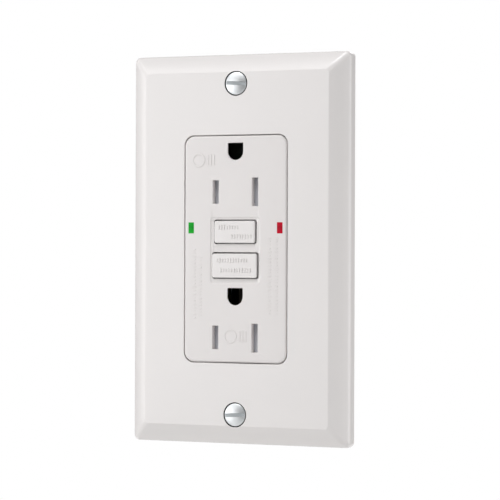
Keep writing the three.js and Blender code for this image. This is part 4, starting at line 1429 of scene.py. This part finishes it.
@dataclass
class Electronics:
    """The sensing coils, the solenoid and the parts soldered to the board."""

    coil_z: float = -24.4
    outer: float = 7.6
    inner: float = 3.4
    wire: float = 0.14

    def build(self) -> None:
        """Builds the wound parts, then the soldered ones."""
        for name, low, high in (("fault_sensing_coil", 16.2, 19.6), ("neutral_sensing_coil", 20.0, 23.4)):
            self._coil(name, low, high)
        self._solenoid()
        self._varistor()
        self._capacitor()
        self._chip()

    def _coil(self, name: str, low: float, high: float) -> None:
        """A ring core under one layer of enamelled wire."""
        skin, soft = 2 * self.wire, 0.6
        place = inwards(0, self.coil_z, (low + high) / 2)
        rise = (high - low) / 2 - skin
        near, far = self.inner + skin, self.outer - skin
        ring = [
            (near, -rise + soft), (near + soft, -rise), (far - soft, -rise), (far, -rise + soft),
            (far, rise - soft), (far - soft, rise), (near + soft, rise), (near, rise - soft), (near, -rise + soft),
        ]
        loops = winding_rule().run(
            COPPER, turns=74, radius=(self.inner + self.outer) / 2, width=self.outer - self.inner - skin,
            height=high - low - skin, wire=self.wire,
        )
        install(Solid.lathe(ring, place, 48).beside(loops.moved(place)), name, COPPER)

    @staticmethod
    def _solenoid() -> None:
        """A flanged bobbin, its winding in layers and the plunger that it pulls."""
        axis = along((0, 0, 1), (0, SOLENOID_Y, 0))
        bobbin = [(1.7, 3.2), (4, 3.2), (4, 4), (2.2, 4), (2.2, 17.2), (4, 17.2), (4, 18), (1.7, 18), (1.7, 3.2)]
        install(Solid.lathe(bobbin, axis, 40).softened(0.1), "solenoid_bobbin", BLACK)
        core = Solid.lathe([(2.5, 4.3), (3.6, 4.3), (3.6, 16.9), (2.5, 16.9), (2.5, 4.3)], axis, 40)
        layer = helix_rule().run(COPPER, turns=40, radius=3.62, length=12.2, wire=0.17, sides=5, steps=20)
        install(core.beside(layer.moved(along((0, 0, 1), (0, SOLENOID_Y, 4.5)))), "solenoid_winding", COPPER)
        rod = [(0, 1.9), (1.1, 1.9), (1.35, 2.15), (1.35, 16.7), (1.1, 17), (0, 17)]
        install(Solid.lathe(rod, axis, 40), "trip_plunger", SPRING)

    @staticmethod
    def _extent(node: str) -> Tuple[List[float], List[float]]:
        """Gives the middle and the half sizes of a CAD node's box, in millimetres."""
        low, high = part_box(node)
        middle = [(a + b) / 2 / MM for a, b in zip(low, high)]
        return middle, [(b - a) / 2 / MM for a, b in zip(low, high)]

    def _varistor(self) -> None:
        """The coated disc that takes surges."""
        middle, (half, radius, _) = self._extent("varistor")
        disc = [(0, -half), (radius - 0.9, -half), (radius - 0.2, -half + 0.35), (radius, 0)]
        disc += [(r, -s) for r, s in reversed(disc[:-1])]
        install(Solid.lathe(disc, along((1, 0, 0), middle), 48), "varistor", EPOXY)

    def _capacitor(self) -> None:
        """The smoothing capacitor's can, with the groove that seals it."""
        middle, (radius, _, half) = self._extent("capacitor")
        can = [
            (0, -half), (radius - 0.3, -half), (radius, -half + 0.3), (radius, -half + 1.0),
            (radius - 0.25, -half + 1.3), (radius, -half + 1.6), (radius, half - 0.3), (radius - 0.3, half),
            (radius - 0.7, half - 0.15), (0, half - 0.15),
        ]
        install(Solid.lathe(can, along((0, 0, 1), middle), 48), "capacitor", BLACK)

    @staticmethod
    def _chip() -> None:
        """The control chip with four legs on each side."""
        (x0, y0, z0), (x1, y1, z1) = ([value / MM for value in corner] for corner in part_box("control_chip"))
        count, leg, reach = 4, 0.22, 0.8
        body = Solid.box((x0 + 0.7, x1 - 0.7), (y0 + 0.2, y1), (z0, z1))
        legs = []
        for step in range(count):
            z = z0 + (z1 - z0) / count * (step + 0.5)
            for x in ((x0, x0 + reach), (x1 - reach, x1)):
                legs.append(Solid.box(x, (y0, y0 + 0.9), (z - leg, z + leg)))
        install(body.beside(*legs).softened(0.08), "control_chip", BLACK)


# ---------------------------------------------------------------- studio


@dataclass
class Studio:
    """A pale floor, soft lamps and the camera."""

    azimuth: float = 25.0
    distance: float = 713.0
    target: Tuple[float, float, float] = (1.47, 0.0, -0.25)
    lens: float = 174.4
    roll: float = 0.204
    floor_z: float = -160.0
    floor_half: float = 350.0
    lamp_distance: float = 900.0
    lamps: Sequence[Tuple[str, float, float, float, float]] = (
        # name, azimuth, elevation, width in mm, watts
        ("left_box", -75.0, 5.0, 420.0, 1.15),
        ("front_left_box", -35.0, 5.0, 420.0, 1.36),
        ("low_left_box", -50.0, -10.0, 420.0, 1.9),
        ("high_left_box", -50.0, 42.0, 420.0, 1.39),
        ("high_right_box", 20.0, 42.0, 420.0, 0.4),
        ("high_front_box", -10.0, 64.0, 420.0, 4.4),
        ("right_box", 70.0, 5.0, 420.0, 0.65),
        ("low_right_box", 75.0, -10.0, 420.0, 1.4),
        ("far_right_box", 105.0, 5.0, 420.0, 2.56),
        ("rear_box", 188.0, 12.0, 600.0, 3.0),
        ("high_rear_box", 178.0, 55.0, 600.0, 1.5),
    )
    world: float = 0.01

    def build(self) -> None:
        """Builds the floor, the lamps, the surroundings and the camera."""
        form = bmesh.new()
        bmesh.ops.create_grid(form, x_segments=1, y_segments=1, size=self.floor_half * MM)
        form.transform(Matrix.Translation((0, 0, self.floor_z * MM)))
        floor = shown("floor", as_mesh(form))
        floor.data.name = "floor"
        floor.data.materials.append(FLOOR.material())
        for name, azimuth, elevation, width, watts in self.lamps:
            self._lamp(name, self._towards(azimuth, elevation) * self.lamp_distance * MM, width * MM, watts)
        self._surroundings()
        self._camera()

    @staticmethod
    def _towards(azimuth: float, elevation: float) -> Vector:
        """Gives the direction from the object to a place round it."""
        a, e = math.radians(azimuth), math.radians(elevation)
        return Vector((math.sin(a) * math.cos(e), -math.cos(a) * math.cos(e), math.sin(e)))

    @staticmethod
    def _lamp(name: str, place: Vector, width: float, watts: float) -> None:
        """Hangs one square soft box that faces the object."""
        data = bpy.data.lights.new(name, "AREA")
        data.shape, data.size, data.energy = "SQUARE", width, watts
        lamp = shown(name, data)
        lamp.location = place
        lamp.rotation_mode = "QUATERNION"
        lamp.rotation_quaternion = place.to_track_quat("Z", "Y")

    def _surroundings(self) -> None:
        """Lights the room evenly and shows it plain white to the camera."""
        world = bpy.data.worlds.new("studio")
        bpy.context.scene.world = world
        world.use_nodes = True
        tree = world.node_tree
        tree.nodes.clear()
        seen = add(tree, "ShaderNodeLightPath").outputs["Is Camera Ray"]
        room = add(tree, "ShaderNodeBackground", {"Color": (1, 1, 1, 1), "Strength": self.world})
        white = add(tree, "ShaderNodeBackground", {"Color": (1, 1, 1, 1), "Strength": 1.0})
        both = add(tree, "ShaderNodeMixShader", {0: seen, 1: room.outputs[0], 2: white.outputs[0]})
        add(tree, "ShaderNodeOutputWorld", {"Surface": both.outputs[0]})
        view = bpy.context.scene.view_settings
        view.view_transform, view.look, view.exposure, view.gamma = "Standard", "None", 0.0, 1.0

    def _camera(self) -> None:
        """Sets the camera level with the object, to its right."""
        back = self._towards(self.azimuth, 0.0)
        right = Vector((-back.y, back.x, 0))
        turn = math.radians(self.roll)
        across = right * math.cos(turn) + back.cross(right) * math.sin(turn)
        data = bpy.data.cameras.new("camera")
        data.sensor_width, data.lens = 36.0, self.lens
        data.clip_start, data.clip_end = 0.01, 20.0
        camera = shown("camera", data)
        place = Vector(self.target) + back * self.distance
        turned = Matrix((across, back.cross(across), back)).transposed().to_4x4()
        camera.matrix_world = Matrix.Translation(place * MM) @ turned
        bpy.context.scene.camera = camera


def main() -> None:
    """Builds every sub-assembly in order, then the studio."""
    logging.basicConfig(level=logging.INFO, format="%(message)s")
    for assembly in (WallPlate(), FaceCover(), TEST_BUTTON, RESET_BUTTON, FrontDetails(), Springs(), Fasteners()):
        assembly.build()
    for assembly in (MountingStrap(), RearHousing(), StampedPieces(), Electronics(), Studio()):
        assembly.build()


if __name__ == "__main__":
    main()
